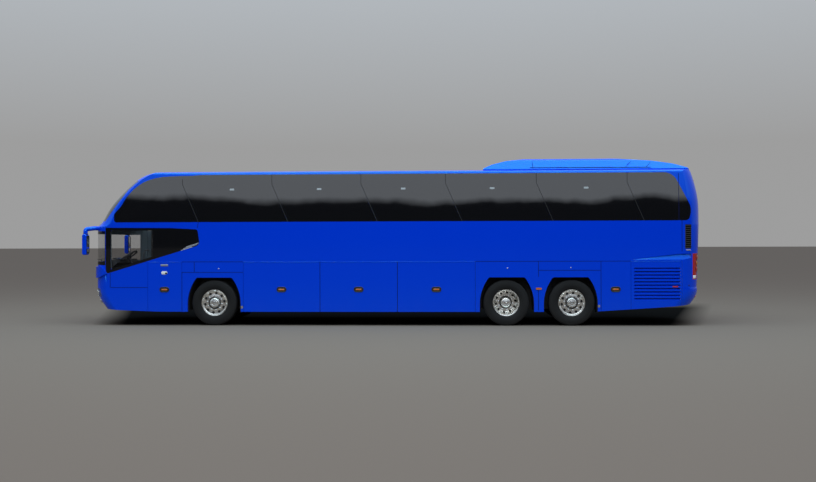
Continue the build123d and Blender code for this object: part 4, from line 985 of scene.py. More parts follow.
def build_front_glass():
    """The side glass's upper front corner and the dark border of the upper screen round to the pillar."""
    corners, borders = [], []
    for side, view in SIDES:
        edges = []
        for first_x, first_z, last_x, last_z in between(GLASS_CORNER):
            edges.append((spot(view, first_x, first_z)[0], spot(view, last_x, last_z)[0]))
        corners.append(skin_patch(side, edges))
        edges = []
        for height, station in between(PILLAR_EDGE):
            across = SCREEN_EDGE_Y - SCREEN_EDGE_LEAN * (height - HIGH_SCREEN_FOOT_Z)
            edges.append((spot(view, station, height)[0], spot("front", side * across, height)[0]))
        borders.append(skin_patch(side, edges))
    add_piece("side_glass_corners", corners, "root", "tinted_glass")
    add_piece("screen_borders", borders, "root", "tinted_glass")


def build_seams():
    """Dark lines between the panels, in the roof and at the ends."""
    strips = []
    for sides, first_x, first_z, last_x, last_z in SIDE_SEAMS:
        for view in ("left", "right"):
            if sides in (view, "both"):
                strips.append(seam(view, (first_x, first_z), (last_x, last_z), SEAM_WIDTH))
    for x, y, half_x, half_y in HATCHES:
        corners = [(x + sign_x * half_x, y + sign_y * half_y)
                   for sign_x, sign_y in ((-1, -1), (1, -1), (1, 1), (-1, 1))]
        for first, last in zip(corners, corners[1:] + corners[:1]):
            strips.append(seam("top", first, last, 0.012, 0.001))
    for across in (-LAMP_SEAM_Y, LAMP_SEAM_Y):
        strips.append(seam("front", (across, 2.20), (across, 2.34)))
    add_piece("panel_seams", strips, "root", "body_paint", SEAM_SHADOW, smooth=False)
    rubber = [joint_rubber(side, station) for side in (-1, 1) for station in PANE_JOINTS]
    add_piece("pane_rubber", rubber, "root", "black_plastic", SEAL_RUBBER, smooth=False)


# Handles, lamps, locks and labels on the flanks

# side, station, height, body
HANDLES = (
    ("left", -5.202, 0.815, "service_flap_left"), ("left", -2.520, 0.815, "luggage_flap_left_1"),
    ("left", -0.770, 0.815, "luggage_flap_left_2"), ("left", 0.980, 0.815, "luggage_flap_left_3"),
    ("left", 4.970, 0.815, "root"), ("right", -2.520, 0.815, "luggage_flap_right_1"),
    ("right", -0.770, 0.815, "luggage_flap_right_2"), ("right", 4.970, 0.815, "root"),
)
# side, station and height: locks of the wheel panels, jacking plates, dark locks in the tail's lower corners
LOCKS = [(view, x, z) for _, view in SIDES for x, z in ((-3.955, 1.290), (2.570, 1.290), (3.985, 1.300))]
JACK_PLATES = [(view, x, z) for _, view in SIDES for x, z in ((-3.425, 0.415), (4.600, 0.440))]
TAIL_LOCKS = [(view, 6.594, 0.900) for _, view in SIDES]
GLASS_LABELS = (-3.652, -1.664, 0.241, 2.237, 4.329)
# pale strokes along the lower edge of the driver's window: first and last station, height over the edge
STRIPES = ((-4.820, -4.560, 0.010), (-4.765, -4.450, 0.032), (-4.700, -4.415, 0.054))
STRIPE_WIDTH = 0.010
WINDOW_FRONT_X = -6.558
WINDOW_FOOT_Z = 1.168
WINDOW_SLOPE = 0.3032
HANDLE_HALF = (0.112, 0.062)
LOCK_ROWS = ((-0.001, 0.013), (0.003, 0.013), (0.004, 0.011), (0.004, 0.006), (0.002, 0.005))
TAIL_LOCK_ROWS = ((-0.001, 0.016), (0.003, 0.016), (0.004, 0.012))
FUEL_X = -5.202
FUEL_LOCK_Z = 1.195
FUEL_LOCK_HALF = (0.070, 0.036)
KEYHOLE_AT = (0.040, -0.010)
KEYHOLE_HALF = (0.025, 0.021)
FUEL_LABEL_HALF = (0.084, 0.012)
GLASS_LABEL_HALF = (0.050, 0.020)
JACK_PLATE_HALF = (0.022, 0.030)
HANDLE_LAMP_HALF = (0.066, 0.017)
MARKER_HALF = (0.064, 0.014)
# name, height and material of the label's two halves over the fuel lock
FUEL_LABELS = (("fuel_label", 1.377, LABEL), ("fuel_label_foot", 1.353, LABEL_DARK))
GLASS_LABEL_Z = 3.085
LOUVRE_MARKER = ("left", 6.283, 0.872)


def window_foot(station, over):
    """Station and height of a point over the lower edge of the driver's window."""
    return station, WINDOW_FOOT_Z + (station - WINDOW_FRONT_X) * WINDOW_SLOPE + over


def build_flanks():
    """Handles with their lamps, locks, fuel cap, labels and the stripes below the driver's window."""
    for index, (view, station, height, body) in enumerate(HANDLES):
        place = spot(view, station, height)
        cup = [pad(place, *HANDLE_HALF, 0.061, -0.002, 0.004), oval_rim(place, *HANDLE_HALF, 0.014, 0.011)]
        add_piece(f"handle_{index}", cup, body, "black_plastic", HANDLE_BLACK)
        lamp = [pad(place, *HANDLE_LAMP_HALF, 0.010, 0.003, 0.013, 0.004)]
        add_piece(f"handle_lamp_{index}", lamp, body, "lamp_orange")
    fuel_lock = spot("left", FUEL_X, FUEL_LOCK_Z)
    cap = [pad(fuel_lock, *FUEL_LOCK_HALF, 0.035, -0.001, 0.004, 0.002)]
    add_piece("fuel_lock", cap, "service_flap_left", "lamp_clear", PLATE_WHITE)
    keyhole = [pad(shifted(fuel_lock, *KEYHOLE_AT), *KEYHOLE_HALF, 0.020, 0.003, 0.006, 0.002)]
    add_piece("fuel_keyhole", keyhole, "service_flap_left", "black_plastic", HANDLE_BLACK)
    locks = [round_part(spot(*row), LOCK_ROWS, 18) for row in LOCKS]
    locks += [pad(spot(*row), *JACK_PLATE_HALF, 0.008, -0.001, 0.002) for row in JACK_PLATES]
    add_piece("locks_root", locks, "root", "polished_alloy", CHROME)
    tail_locks = [round_part(spot(*row), TAIL_LOCK_ROWS, 18) for row in TAIL_LOCKS]
    add_piece("tail_locks", tail_locks, "root", "black_plastic", HANDLE_BLACK)
    for name, height, material in FUEL_LABELS:
        label = [pad(spot("left", FUEL_X, height), *FUEL_LABEL_HALF, 0.002, -0.0005, 0.0010)]
        add_piece(name, label, "service_flap_left", "lamp_clear", material)
    labels = [pad(spot(view, station, GLASS_LABEL_Z), *GLASS_LABEL_HALF, 0.005, -0.0005, 0.0006)
              for _, view in SIDES for station in GLASS_LABELS]
    add_piece("glass_labels", labels, "root", "lamp_clear", LABEL)
    stripes = [seam("left", window_foot(first_x, over), window_foot(last_x, over), STRIPE_WIDTH, 0.001)
               for first_x, last_x, over in STRIPES]
    add_piece("window_stripes", stripes, "root", "lamp_clear", STRIPE_PALE, smooth=False)
    marker = [pad(spot(*LOUVRE_MARKER), *MARKER_HALF, 0.008, -0.002, 0.010, 0.003)]
    add_piece("louvre_marker", marker, "louvre_flap_left", "lamp_red")


# Front: wipers, lamps, air slots, number plate, mirrors

# pivot width, blade middle width, half blade length
WIPERS = ((0.42, 0.62, 0.42), (-0.42, -0.62, 0.42))
WIPER_FOOT_Z = 1.420
WIPER_BLADE_Z = 1.500
# width, height and radius of each round lamp under the headlamp covers
HEAD_UNITS = ((0.840, 0.738, 0.062), (0.985, 0.745, 0.066), (1.115, 0.752, 0.052))
FOG_LAMP = (0.930, 0.560, 0.058)
INTAKE_HALF = 0.560
INTAKE_ROWS = (0.480, 0.546, 0.612)
# the mirror heads' rear faces and the foot of their arms
MIRROR_X = -6.922
MIRROR_Y = 1.395
MIRROR_ARM_X = -6.975
MIRROR_MIDDLE_Z = 1.843
MIRROR_COLLAR_Z = (2.074, 2.090)
# height and half height of the two glasses in a mirror head
MIRROR_PANES = ((1.915, 0.125), (1.690, 0.060))
MIRROR_RIM = (0.082, 0.205, 0.034)
RIM_WIDTH = 0.010
MIRROR_RIM_ROWS = ((0, -0.001), (0, 0.006), (1, 0.006), (1, -0.001))
PLATE_HALF = (0.260, 0.055)
HOLDER_HALF = (0.268, 0.063)
PLATE_LIFT = 0.004
FRONT_PLATE_Z = 0.388
INTAKE_BARS = 37
INTAKE_MARGIN = 0.03
INTAKE_HALF_Z = 0.0195


def wiper(pivot_y, blade_y, half_blade):
    """One parked wiper: spindle, arm, bracket and blade a little off the screen."""
    pivot = lifted(spot("front", pivot_y, WIPER_FOOT_Z), 0.004)
    shapes = [round_part(pivot, ((0, 0.024), (0.018, 0.022), (0.024, 0.014)), 16)]
    arm = []
    for share in (0, 0.25, 0.5, 0.75, 1):
        across = pivot_y + (blade_y - pivot_y) * share
        height = WIPER_FOOT_Z + (WIPER_BLADE_Z - WIPER_FOOT_Z) * share
        arm.append(lifted(spot("front", across, height), 0.020 + 0.006 * math.sin(math.pi * share))[0])
    shapes.append(tube(arm, 0.008, 8))
    blade, holder = [], []
    for step in range(15):
        across = blade_y + half_blade * (step / 7 - 1)
        place = spot("front", across, WIPER_BLADE_Z)
        blade.append(lifted(place, 0.005)[0])
        holder.append(lifted(place, 0.012 + 0.006 * math.cos((step - 7) * math.pi / 14))[0])
    shapes.append(tube(blade, 0.0038, 6))
    shapes.append(tube(holder[1:-1], 0.0055, 6))
    return shapes


def lamp_unit(place, radius):
    """A shallow round lamp below a cover: chrome ring and bowl with a clear lens in the middle."""
    bowl_rows = ((-0.0075, radius), (-0.0015, radius), (-0.001, radius - 0.003), (-0.0045, radius - 0.008),
                 (-0.0070, 0.026), (-0.0075, 0.026))
    lens_rows = ((-0.0075, 0.024), (-0.0035, 0.023), (-0.0015, 0.016), (-0.0010, 0.006))
    return ring_part(place, bowl_rows, 36), round_part(place, lens_rows, 24)


def fog_lamp(side):
    """Ring and lens of a fog lamp in its round opening, set back from the bumper's face."""
    across, height, radius = FOG_LAMP
    edge = spot("front", side * across, height + radius + 0.02)[0]
    place = (Vector((edge.x + 0.045, side * across, height)), -Y_AXIS, Z_AXIS, -X_AXIS)
    ring_rows = ((-0.004, radius - 0.001), (0.020, radius - 0.001), (0.018, radius - 0.010), (0.000, 0.036),
                 (-0.004, 0.036))
    lens_rows = ((-0.004, radius - 0.004), (0.006, radius - 0.006), (0.014, 0.030), (0.016, 0.010))
    return ring_part(place, ring_rows, 30), round_part(place, lens_rows, 30)


def plate_and_holder(view, height, holder_foot):
    """A blank number plate and its holder in the middle of the front or the back."""
    place = spot(view, 0.0, height)
    plate = pad(lifted(place, PLATE_LIFT), *PLATE_HALF, 0.008, 0, 0.003, 0.001)
    return plate, pad(place, *HOLDER_HALF, 0.012, holder_foot, 0.0045)


def build_front():
    """Wipers, lamp insides, bars in the air slots, a blank number plate and the mirrors' glass."""
    add_piece("wipers", [shape for row in WIPERS for shape in wiper(*row)], "root", "black_plastic")
    bowls, lenses, strips = [], [], []
    for side, _ in SIDES:
        for across, height, radius in HEAD_UNITS:
            bowl, lens = lamp_unit(spot("front", side * across, height), radius)
            bowls.append(bowl)
            lenses.append(lens)
        strip = lifted(spot("front", side * 0.97, 0.672), -0.004)
        strips.append(pad(strip, 0.150, 0.008, 0.007, -0.002, 0.002))
    add_piece("headlamp_bowls", bowls, "root", "lamp_clear", CHROME)
    add_piece("headlamp_lenses", lenses + strips, "root", "lamp_clear", LENS_GLASS)
    fog_rings, fog_lenses = zip(*(fog_lamp(side) for side, _ in SIDES))
    add_piece("fog_lamp_rings", fog_rings, "root", "lamp_clear", CHROME)
    add_piece("fog_lamp_lenses", fog_lenses, "root", "lamp_clear", LENS_GLASS)
    grille = []
    spacing = 2 * (INTAKE_HALF - INTAKE_MARGIN) / (INTAKE_BARS - 1)
    for row in INTAKE_ROWS:
        for step in range(INTAKE_BARS):
            across = INTAKE_MARGIN - INTAKE_HALF + step * spacing
            face = spot("front", across, row + 0.033 if row < INTAKE_ROWS[-1] else row - 0.033)[0].x
            grille.append(box((face + 0.030, across - 0.003, row - INTAKE_HALF_Z),
                              (face + 0.042, across + 0.003, row + INTAKE_HALF_Z)))
    add_piece("intake_bars", grille, "root", "black_plastic", smooth=False)
    plate, holder = plate_and_holder("front", FRONT_PLATE_Z, -0.030)
    add_piece("front_plate", [plate], "root", "lamp_clear", PLATE_WHITE)
    add_piece("front_plate_holder", [holder], "root", "black_plastic")
    panes, rims = [], []
    width, height, radius = MIRROR_RIM
    outer = rounded_outline(width, height, radius)
    inner = rounded_outline(width - RIM_WIDTH, height - RIM_WIDTH, radius - RIM_WIDTH)
    for side, _ in SIDES:
        middle = (Vector((MIRROR_X, side * MIRROR_Y, MIRROR_MIDDLE_Z)), Y_AXIS, Z_AXIS, X_AXIS)
        for height, half_z in MIRROR_PANES:
            pane = shifted(middle, up=height - MIRROR_MIDDLE_Z)
            panes.append(pad(pane, 0.068, half_z, 0.024, -0.002, 0.0030, 0.001))
        rims.append(rim_part(middle, outer, inner, MIRROR_RIM_ROWS))
        rims.append(tube([(MIRROR_ARM_X, side * MIRROR_Y, z) for z in MIRROR_COLLAR_Z], 0.058, 20))
    add_piece("mirror_glass", panes, "root", "polished_alloy", MIRROR_GLASS)
    add_piece("mirror_rims", rims, "root", "black_plastic")


# Rear: lamps, lid handle, number plate, bars of the corner vents

REAR_LENSES = (1.520, 1.390, 1.260)
REAR_LENS_Y = 1.030
REAR_LENS_ROWS = ((-0.003, 0.058), (0.004, 0.056), (0.009, 0.042), (0.011, 0.016))
REAR_RIM_ROWS = ((-0.003, 0.064), (0.003, 0.064), (0.005, 0.061), (0.003, 0.058), (-0.003, 0.058))
# width, height, half width and half height: reflectors, clearance lamps and the high brake lamp
RED_BARS = ((0.930, 0.640, 0.070, 0.022), (0.700, 3.265, 0.045, 0.016))
BRAKE_LAMP = (0.0, 3.235, 0.260, 0.016)
REVERSING_Z = 1.085
REAR_PLATE_Z = 0.940
LID_HANDLE_Z = 0.800
REAR_SCREW_ROWS = ((-0.002, 0.014), (0.004, 0.014), (0.005, 0.010))


def red_bar(across, height, half_u, half_v):
    """A flat red lens at the back."""
    return pad(spot("rear", across, height), half_u, half_v, 0.008, -0.003, 0.006, 0.002)


def build_rear():
    """Round lenses in the tail lamps, reversing lamps, reflectors, brake lamp, plate and lid handle."""
    red, orange, white, dark = [], [], [], []
    for side, side_name in SIDES:
        for height, target in zip(REAR_LENSES, (red, orange, red)):
            place = spot("rear", side * REAR_LENS_Y, height)
            target.append(round_part(place, REAR_LENS_ROWS, 30))
            dark.append(ring_part(place, REAR_RIM_ROWS, 30))
        for view, across, half_u in (("rear", side * 1.100, 0.052), (side_name, 6.722, 0.026)):
            white.append(pad(spot(view, across, REVERSING_Z), half_u, 0.034, 0.012, -0.004, 0.003, 0.002))
        red += [red_bar(side * across, *row) for across, *row in RED_BARS]
    red.append(red_bar(*BRAKE_LAMP))
    add_piece("rear_lenses", red, "root", "lamp_red")
    add_piece("turn_lenses", orange, "root", "lamp_orange")
    add_piece("reversing_lamps", white, "root", "lamp_clear", LENS_GLASS)
    add_piece("rear_lens_rims", dark, "root", "black_plastic")
    place = spot("rear", 0.0, LID_HANDLE_Z)
    bar = [shifted(place, along=0.085 * share, out=0.012 - 0.006 * share * share)[0]
           for share in (-1, -0.5, 0, 0.5, 1)]
    grip = [pad(place, 0.110, 0.040, 0.036, -0.003, 0.003), oval_rim(place, 0.110, 0.040, 0.010, 0.010),
            tube(bar, 0.007, 8)]
    add_piece("lid_handle", grip, "engine_lid", "black_plastic")
    plate, holder = plate_and_holder("rear", REAR_PLATE_Z, -0.010)
    add_piece("rear_plate", [plate], "engine_lid", "lamp_clear", PLATE_WHITE)
    plate_lamps = [pad(spot("rear", side * 0.12, 1.022), 0.030, 0.012, 0.008, -0.004, 0.020, 0.004)
                   for side, _ in SIDES]
    add_piece("rear_plate_holder", [holder, *plate_lamps], "engine_lid", "black_plastic")
    screws = [round_part(spot("rear", side * 0.70, 0.585), REAR_SCREW_ROWS, 16) for side, _ in SIDES]
    add_piece("rear_screws", screws, "root", "polished_alloy", CHROME)
    vents = [pad(spot(view, 6.577, 1.685), 0.060, 0.010, 0.005, -0.002, 0.005, 0.002) for _, view in SIDES]
    add_piece("vent_bars", vents, "root", "polished_alloy", CHROME)


# Roof unit: fans below their guards, fasteners and seams of its covers

FAN_STATIONS = (3.450, 4.075, 4.700)
FAN_Y = 0.430
FAN_RADIUS = 0.270
FAN_TOP_Z = 3.760
FAN_FLOOR_Z = 3.715
GUARD_RINGS = (0.115, 0.150, 0.185, 0.220, 0.252)
BLADE_COUNT = 7
POD_JOINTS = (3.150, 5.300, 5.740)
# first station and height, second station and height of the covers' joints on the flanks
POD_SEAMS = ((3.155, 3.535, 3.155, 3.700), (5.220, 3.535, 5.370, 3.690), (5.680, 3.535, 5.800, 3.660))
POD_FOOT = (3.10, 3.548, 5.80, 3.548)
# a fan blade: radii of its root and tip, half chords and pitches at both, sweep and half thickness
BLADE_ROOT = 0.066
BLADE_TIP = 0.244
BLADE_CHORDS = (0.040, 0.068)
BLADE_PITCHES = (34, 18)
BLADE_SWEEP = 0.10
BLADE_THICK = Vector((0, 0, 0.0015))
BLADE_STATIONS = 5
GUARD_SPOKES = 8
GUARD_DEPTH = 0.008
TOP_SCREW_ROWS = ((-0.002, 0.010), (0.0025, 0.010), (0.004, 0.007))
SIDE_SCREW_ROWS = ((-0.002, 0.009), (0.002, 0.009), (0.0035, 0.006))


def fan_blade(place, turn):
    """One twisted blade of a condenser fan."""
    rings = []
    for step in range(BLADE_STATIONS + 1):
        share = step / BLADE_STATIONS
        radius = BLADE_ROOT + (BLADE_TIP - BLADE_ROOT) * share
        half_chord = BLADE_CHORDS[0] + (BLADE_CHORDS[1] - BLADE_CHORDS[0]) * share
        pitch = math.radians(BLADE_PITCHES[0] + (BLADE_PITCHES[1] - BLADE_PITCHES[0]) * share)
        spoke, _, across, up = turned(place, turn, radius)
        middle = spoke + across * (BLADE_SWEEP * radius * share)
        lead = (across * math.cos(pitch) + up * (0.5 * math.sin(pitch))) * half_chord
        rings.append([middle - lead - BLADE_THICK, middle + lead - BLADE_THICK,
                      middle + lead + BLADE_THICK, middle - lead + BLADE_THICK])
    return rings_shape(rings)


def fan_guard(place):
    """The rings and spokes over one fan."""
    shapes = []
    for radius in GUARD_RINGS:
        near, far = radius - 0.002, radius + 0.002
        rows = ((-0.0060, near), (-0.0020, near), (-0.0020, far), (-0.0060, far))
        shapes.append(ring_part(place, rows, 40))
    for spoke in range(GUARD_SPOKES):
        turn = 2 * math.pi * (spoke + 0.5) / GUARD_SPOKES
        points = [turned(place, turn, radius) for radius in (0.060, FAN_RADIUS - 0.001)]
        shapes.append(tube([shifted(point, out=-GUARD_DEPTH)[0] for point in points], 0.003, 6))
    return shapes


def build_roof_unit():
    """Fans, their guards, and the fasteners and seams of the covers."""
    blades, guards = [], []
    for station in FAN_STATIONS:
        for side, _ in SIDES:
            rim = (Vector((station, side * FAN_Y, FAN_TOP_Z)), X_AXIS, Y_AXIS, Z_AXIS)
            hub = shifted(rim, out=FAN_FLOOR_Z + 0.018 - FAN_TOP_Z)
            blades += [fan_blade(hub, 2 * math.pi * blade / BLADE_COUNT) for blade in range(BLADE_COUNT)]
            guards += fan_guard(rim)
    add_piece("fan_blades", blades, "root", "black_plastic")
    add_piece("fan_guards", guards, "root", "black_plastic")
    heads = [round_part(spot("top", joint + offset, across, POD_SKIN), TOP_SCREW_ROWS, 12)
             for joint in POD_JOINTS for offset in (-0.05, 0.05)
             for across in (-0.72, -0.36, 0.0, 0.36, 0.72)]
    heads += [round_part(spot(view, 2.60 + 0.58 * step, 3.575, POD_SKIN), SIDE_SCREW_ROWS, 12)
              for _, view in SIDES for step in range(7)]
    add_piece("pod_fasteners", heads, "root", "cast_iron")
    lines = []
    for _, view in SIDES:
        for row in POD_SEAMS:
            lines.append(seam(view, row[:2], row[2:], SEAM_WIDTH, skin=POD_SKIN))
        lines.append(seam(view, POD_FOOT[:2], POD_FOOT[2:], 0.022, skin=POD_SKIN))
    add_piece("pod_seams", lines, "root", "body_paint", SEAM_SHADOW, smooth=False)


# Inside: seats, racks, ceiling, driver's place

SEAT_ROWS = 13
SEAT_PITCH = 0.815
FIRST_SEAT_X = -4.080
DECK_Z = 1.490
DRIVER_FLOOR_Z = 0.860
SEAT_WIDTH = 0.440
INNER_SEAT_Y = (0.230, 0.685)
STAIR_GAP = (0.200, 1.860)
BACK_LEAN = math.radians(12.6)
LEG = 0.030
LEG_TOP = 0.325
DRIVER_SEAT = (-5.900, -0.700)
# the section of a luggage rack: distance from the middle and height
RACK_SECTION = (
    (1.125, 3.02), (0.86, 3.03), (0.78, 3.07), (0.76, 3.13), (0.80, 3.16), (0.86, 3.15), (1.10, 3.17),
    (1.115, 3.26), (1.130, 3.26),
)
RACK_ENDS = (-4.30, 6.05)


def cushion_point(share, half, inner, radius, puff):
    """The point of a puffed block at shares of its half sizes; the faces across x and z are crowned."""
    flat = Vector([math.copysign(abs(part) ** 0.8, part) * size for part, size in zip(share, half)])
    core = Vector([max(-limit, min(limit, part)) for part, limit in zip(flat, inner)])
    reach = flat - core
    if reach.length > 1e-9:
        flat = core + reach.normalized() * radius
    crown = (1 - share.y**2) * puff
    if abs(share.z) == 1:
        flat.z += crown * (1 - share.x**2) * share.z
    if abs(share.x) == 1:
        flat.x += crown * (1 - share.z**2) * share.x
    return flat


def cushion(middle, half, radius, puff, lean=0.0, steps=6):
    """A soft rounded block, puffed out on its faces and leaned back about the width axis."""
    half = Vector(half)
    inner = Vector([max(size - radius, 0.001) for size in half])
    points, faces, index = [], [], {}
    for axis in range(3):
        for sign in (-1, 1):
            for a in range(steps):
                for b in range(steps):
                    face = []
                    for da, db in ((0, 0), (1, 0), (1, 1), (0, 1)):
                        key = [0, 0, 0]
                        key[axis] = sign * steps
                        key[(axis + 1) % 3] = 2 * (a + da) - steps
                        key[(axis + 2) % 3] = 2 * (b + db) - steps
                        key = tuple(key)
                        if key not in index:
                            index[key] = len(points)
                            points.append(cushion_point(Vector(key) / steps, half, inner, radius, puff))
                        face.append(index[key])
                    faces.append(tuple(face) if sign > 0 else tuple(reversed(face)))
    turn = Matrix.Rotation(lean, 3, "Y")
    return [turn @ point + Vector(middle) for point in points], faces


def seat_parts(x, y, floor):
    """The soft parts and the hard parts of one seat."""
    soft = [
        cushion((x + 0.225, y, floor + 0.385), (0.225, 0.215, 0.060), 0.045, 0.012, math.radians(3)),
        cushion((x + 0.455, y, floor + 0.690), (0.052, 0.213, 0.270), 0.045, 0.010, BACK_LEAN),
        cushion((x + 0.528, y, floor + 1.030), (0.042, 0.130, 0.095), 0.040, 0.006, BACK_LEAN),
    ]
    hard = [box((x + leg_x, y + leg_y, floor), (x + leg_x + LEG, y + leg_y + LEG, floor + LEG_TOP))
            for leg_x in (0.140, 0.240) for leg_y in (-0.16, 0.13)]
    hard += [
        box((x + 0.080, y - 0.19, floor + 0.318), (x + 0.400, y + 0.19, floor + 0.330)),
        cushion((x + 0.498, y, floor + 0.700), (0.014, 0.200, 0.262), 0.012, 0.004, BACK_LEAN, 3),
    ]
    for side, _ in SIDES:
        arm_at = (x + 0.300, y + side * 0.218, floor + 0.615)
        hard.append(cushion(arm_at, (0.130, 0.018, 0.016), 0.014, 0, 0, 3))
        bracket = [(x + 0.410, y + side * 0.212, floor + 0.56), (x + 0.395, y + side * 0.218, floor + 0.612)]
        hard.append(tube(bracket, 0.012, 6))
    hard.append(tube([(x + 0.515, y - 0.10, floor + 0.92), (x + 0.560, y - 0.10, floor + 1.08),
                      (x + 0.585, y, floor + 1.09), (x + 0.560, y + 0.10, floor + 1.08),
                      (x + 0.515, y + 0.10, floor + 0.92)], 0.008, 6))
    return soft, hard


def build_inside():
    """Seats in place of the plain ones, luggage racks, ceiling and the driver's place."""
    soft, hard = seat_parts(*DRIVER_SEAT, DRIVER_FLOOR_Z)
    for row in range(SEAT_ROWS):
        x = FIRST_SEAT_X + row * SEAT_PITCH
        for side, _ in SIDES:
            if side > 0 and STAIR_GAP[0] < x < STAIR_GAP[1]:
                continue
            for inner_y in INNER_SEAT_Y:
                more_soft, more_hard = seat_parts(x, side * (inner_y + SEAT_WIDTH / 2), DECK_Z)
                soft += more_soft
                hard += more_hard
    cushions = add_piece("seat_cushions", soft, "root", "seat_fabric", replaces=("seats",))
    add_piece("seat_frames", hard, "root", "black_plastic")
    racks, lights = [], []
    for side, _ in SIDES:
        racks.append(rings_shape([[(x, side * y, z) for y, z in RACK_SECTION] for x in RACK_ENDS]))
        for row in range(SEAT_ROWS):
            x = FIRST_SEAT_X + row * SEAT_PITCH + 0.15
            lights.append(box((x, side * 0.93 - 0.05, 3.018), (x + 0.22, side * 0.93 + 0.05, 3.027)))
    racks.append(box((-4.50, -0.62, 3.412), (6.10, 0.62, 3.420)))
    add_piece("luggage_racks", racks, "root", "dash_plastic", RACK_GREY)
    add_piece("reading_lamps", lights, "root", "lamp_clear", LENS_GLASS)
    build_driver_place()


INSTRUMENTS_AT = Vector((-6.415, -0.70, 1.505))
SIDE_PANEL_AT = Vector((-6.430, -0.22, 1.480))
PANEL_LEAN = Vector((0.35, 0, 0.94)).normalized()
PANEL_OUT = Vector((0.94, 0, 0.34)).normalized()
GAUGE_ROWS = ((0.009, 0.058), (0.016, 0.058), (0.017, 0.053), (0.009, 0.052))
SWITCH_COUNT = 8
SWITCH_PITCH = 0.035
PEDALS_Y = (-0.86, -0.72, -0.58)
FRONT_RAILS_X = (-5.480, -6.290)
MID_RAILS_X = (0.940, 1.760)
# first and last station, foot and top height, and number of steps of each stairwell
STAIRS = ((-6.335, -5.465, 0.355, 0.860, 2), (0.915, 1.785, 0.355, 1.490, 4))
STAIR_DEPTH = 0.560


def build_driver_place():
    """Instruments, switches, screens, pedals, grab rails and step edges."""
    dark, chrome, screen = [], [], []
    panel = (INSTRUMENTS_AT, Y_AXIS, -PANEL_LEAN.cross(Y_AXIS).normalized(), PANEL_OUT)
    dark.append(pad(panel, 0.210, 0.085, 0.030, -0.050, 0.010, 0.004))
    for offset in (-0.11, 0.11):
        gauge = shifted(panel, along=offset)
        chrome.append(ring_part(gauge, GAUGE_ROWS, 30))
        screen.append(round_part(gauge, ((0.009, 0.050), (0.0125, 0.050)), 30))
    screen.append(pad(panel, 0.038, 0.045, 0.006, 0.009, 0.0125))
    side_panel = (SIDE_PANEL_AT, *panel[1:])
    dark.append(pad(side_panel, 0.150, 0.080, 0.015, -0.040, 0.006, 0.003))
    screen.append(pad(side_panel, 0.095, 0.055, 0.006, 0.005, 0.009))
    for column in range(SWITCH_COUNT):
        switch = shifted(side_panel, (column - (SWITCH_COUNT - 1) / 2) * SWITCH_PITCH, -0.068)
        dark.append(pad(switch, 0.013, 0.009, 0.003, 0.004, 0.012, 0.002))
    for y in PEDALS_Y:
        base = Vector((-6.500, y, 0.900))
        dark.append(tube([base, base + Vector((0.060, 0, 0.10))], 0.008, 8))
        dark.append(box(base + Vector((0.050, -0.035, 0.075)), base + Vector((0.062, 0.035, 0.175))))
    add_piece("instruments", dark, "root", "dash_plastic")
    add_piece("gauge_rings", chrome, "root", "polished_alloy", CHROME)
    add_piece("gauge_faces", screen, "root", "lamp_clear", SCREEN)
    rails, edges = [], []
    for x in FRONT_RAILS_X:
        rail = [(x, 0.60, 0.90), (x, 0.60, 1.62), (x + 0.02, 0.66, 1.70), (x + 0.05, 0.86, 1.70)]
        rails.append(tube(rail, 0.016, 10))
    for x in MID_RAILS_X:
        rail = [(x, 0.52, 1.50), (x, 0.52, 2.28), (x, 0.58, 2.36), (x, 0.96, 2.36)]
        rails.append(tube(rail, 0.016, 10))
    add_piece("grab_rails", rails, "root", "dash_plastic", RAIL_GREY)
    for first_x, last_x, low, high, count in STAIRS:
        for step in range(count):
            y = 1.105 - step * STAIR_DEPTH / count
            z = low + (step + 1) * (high - low) / (count + 1)
            edges.append(box((first_x, y - 0.030, z - 0.001), (last_x, y + 0.001, z + 0.003)))
    for first_x, last_x, _, high, _ in STAIRS:
        edges.append(box((first_x, 0.515, high - 0.001), (last_x, 0.545, high + 0.003)))
    add_piece("step_edges", edges, "root", "lamp_orange", RAIL_YELLOW, smooth=False)


# Doors: rubber edges, buttons and inner rails

DOORS = (("front_door", -6.390, -5.460), ("mid_door", 0.910, 1.790))
DOOR_FOOT_Z = 0.372
DOOR_TOP_Z = 2.165
BUTTONS_AT = ((-5.370, 1.330), (1.880, 1.330))
BUTTON_ROWS = ((-0.001, 0.026), (0.004, 0.026), (0.006, 0.022), (0.006, 0.016), (0.010, 0.014),
               (0.011, 0.006))
# width and height along a leaf's inner rail
DOOR_RAIL = ((1.225, 0.95), (1.180, 1.00), (1.180, 1.75), (1.225, 1.80))


def build_doors():
    """Finger strips on the leaves' edges, outside buttons and inner rails."""
    for name, first_x, last_x in DOORS:
        strips = [seam("right", (x, DOOR_FOOT_Z), (x, DOOR_TOP_Z), 0.018, 0.0015)
                  for x in (first_x + 0.014, last_x - 0.014)]
        strips.append(seam("right", (first_x + 0.014, 2.172), (last_x - 0.014, 2.172), 0.018, 0.0015))
        add_piece(name + "_rubber", strips, name, "black_plastic", SEAL_RUBBER, smooth=False)
        rail = [(first_x + 0.16, y, z) for y, z in DOOR_RAIL]
        add_piece(name + "_rail", [tube(rail, 0.012, 10)], name, "dash_plastic", RAIL_GREY)
    buttons = [round_part(spot("right", x, z), BUTTON_ROWS, 24) for x, z in BUTTONS_AT]
    add_piece("door_buttons", buttons, "root", "polished_alloy", CHROME)


# Below: mudflaps, air tanks, brake chambers and exhaust

# axle station, how far behind it the flap hangs
MUDFLAPS = ((-4.060, 0.588), (4.003, 0.560))
FLAP_Y = (0.930, 1.245)
FLAP_Z = (0.290, 0.900)
FLAP_THICK = 0.008
TANK_Z = 0.560
TANK_Y = 0.200
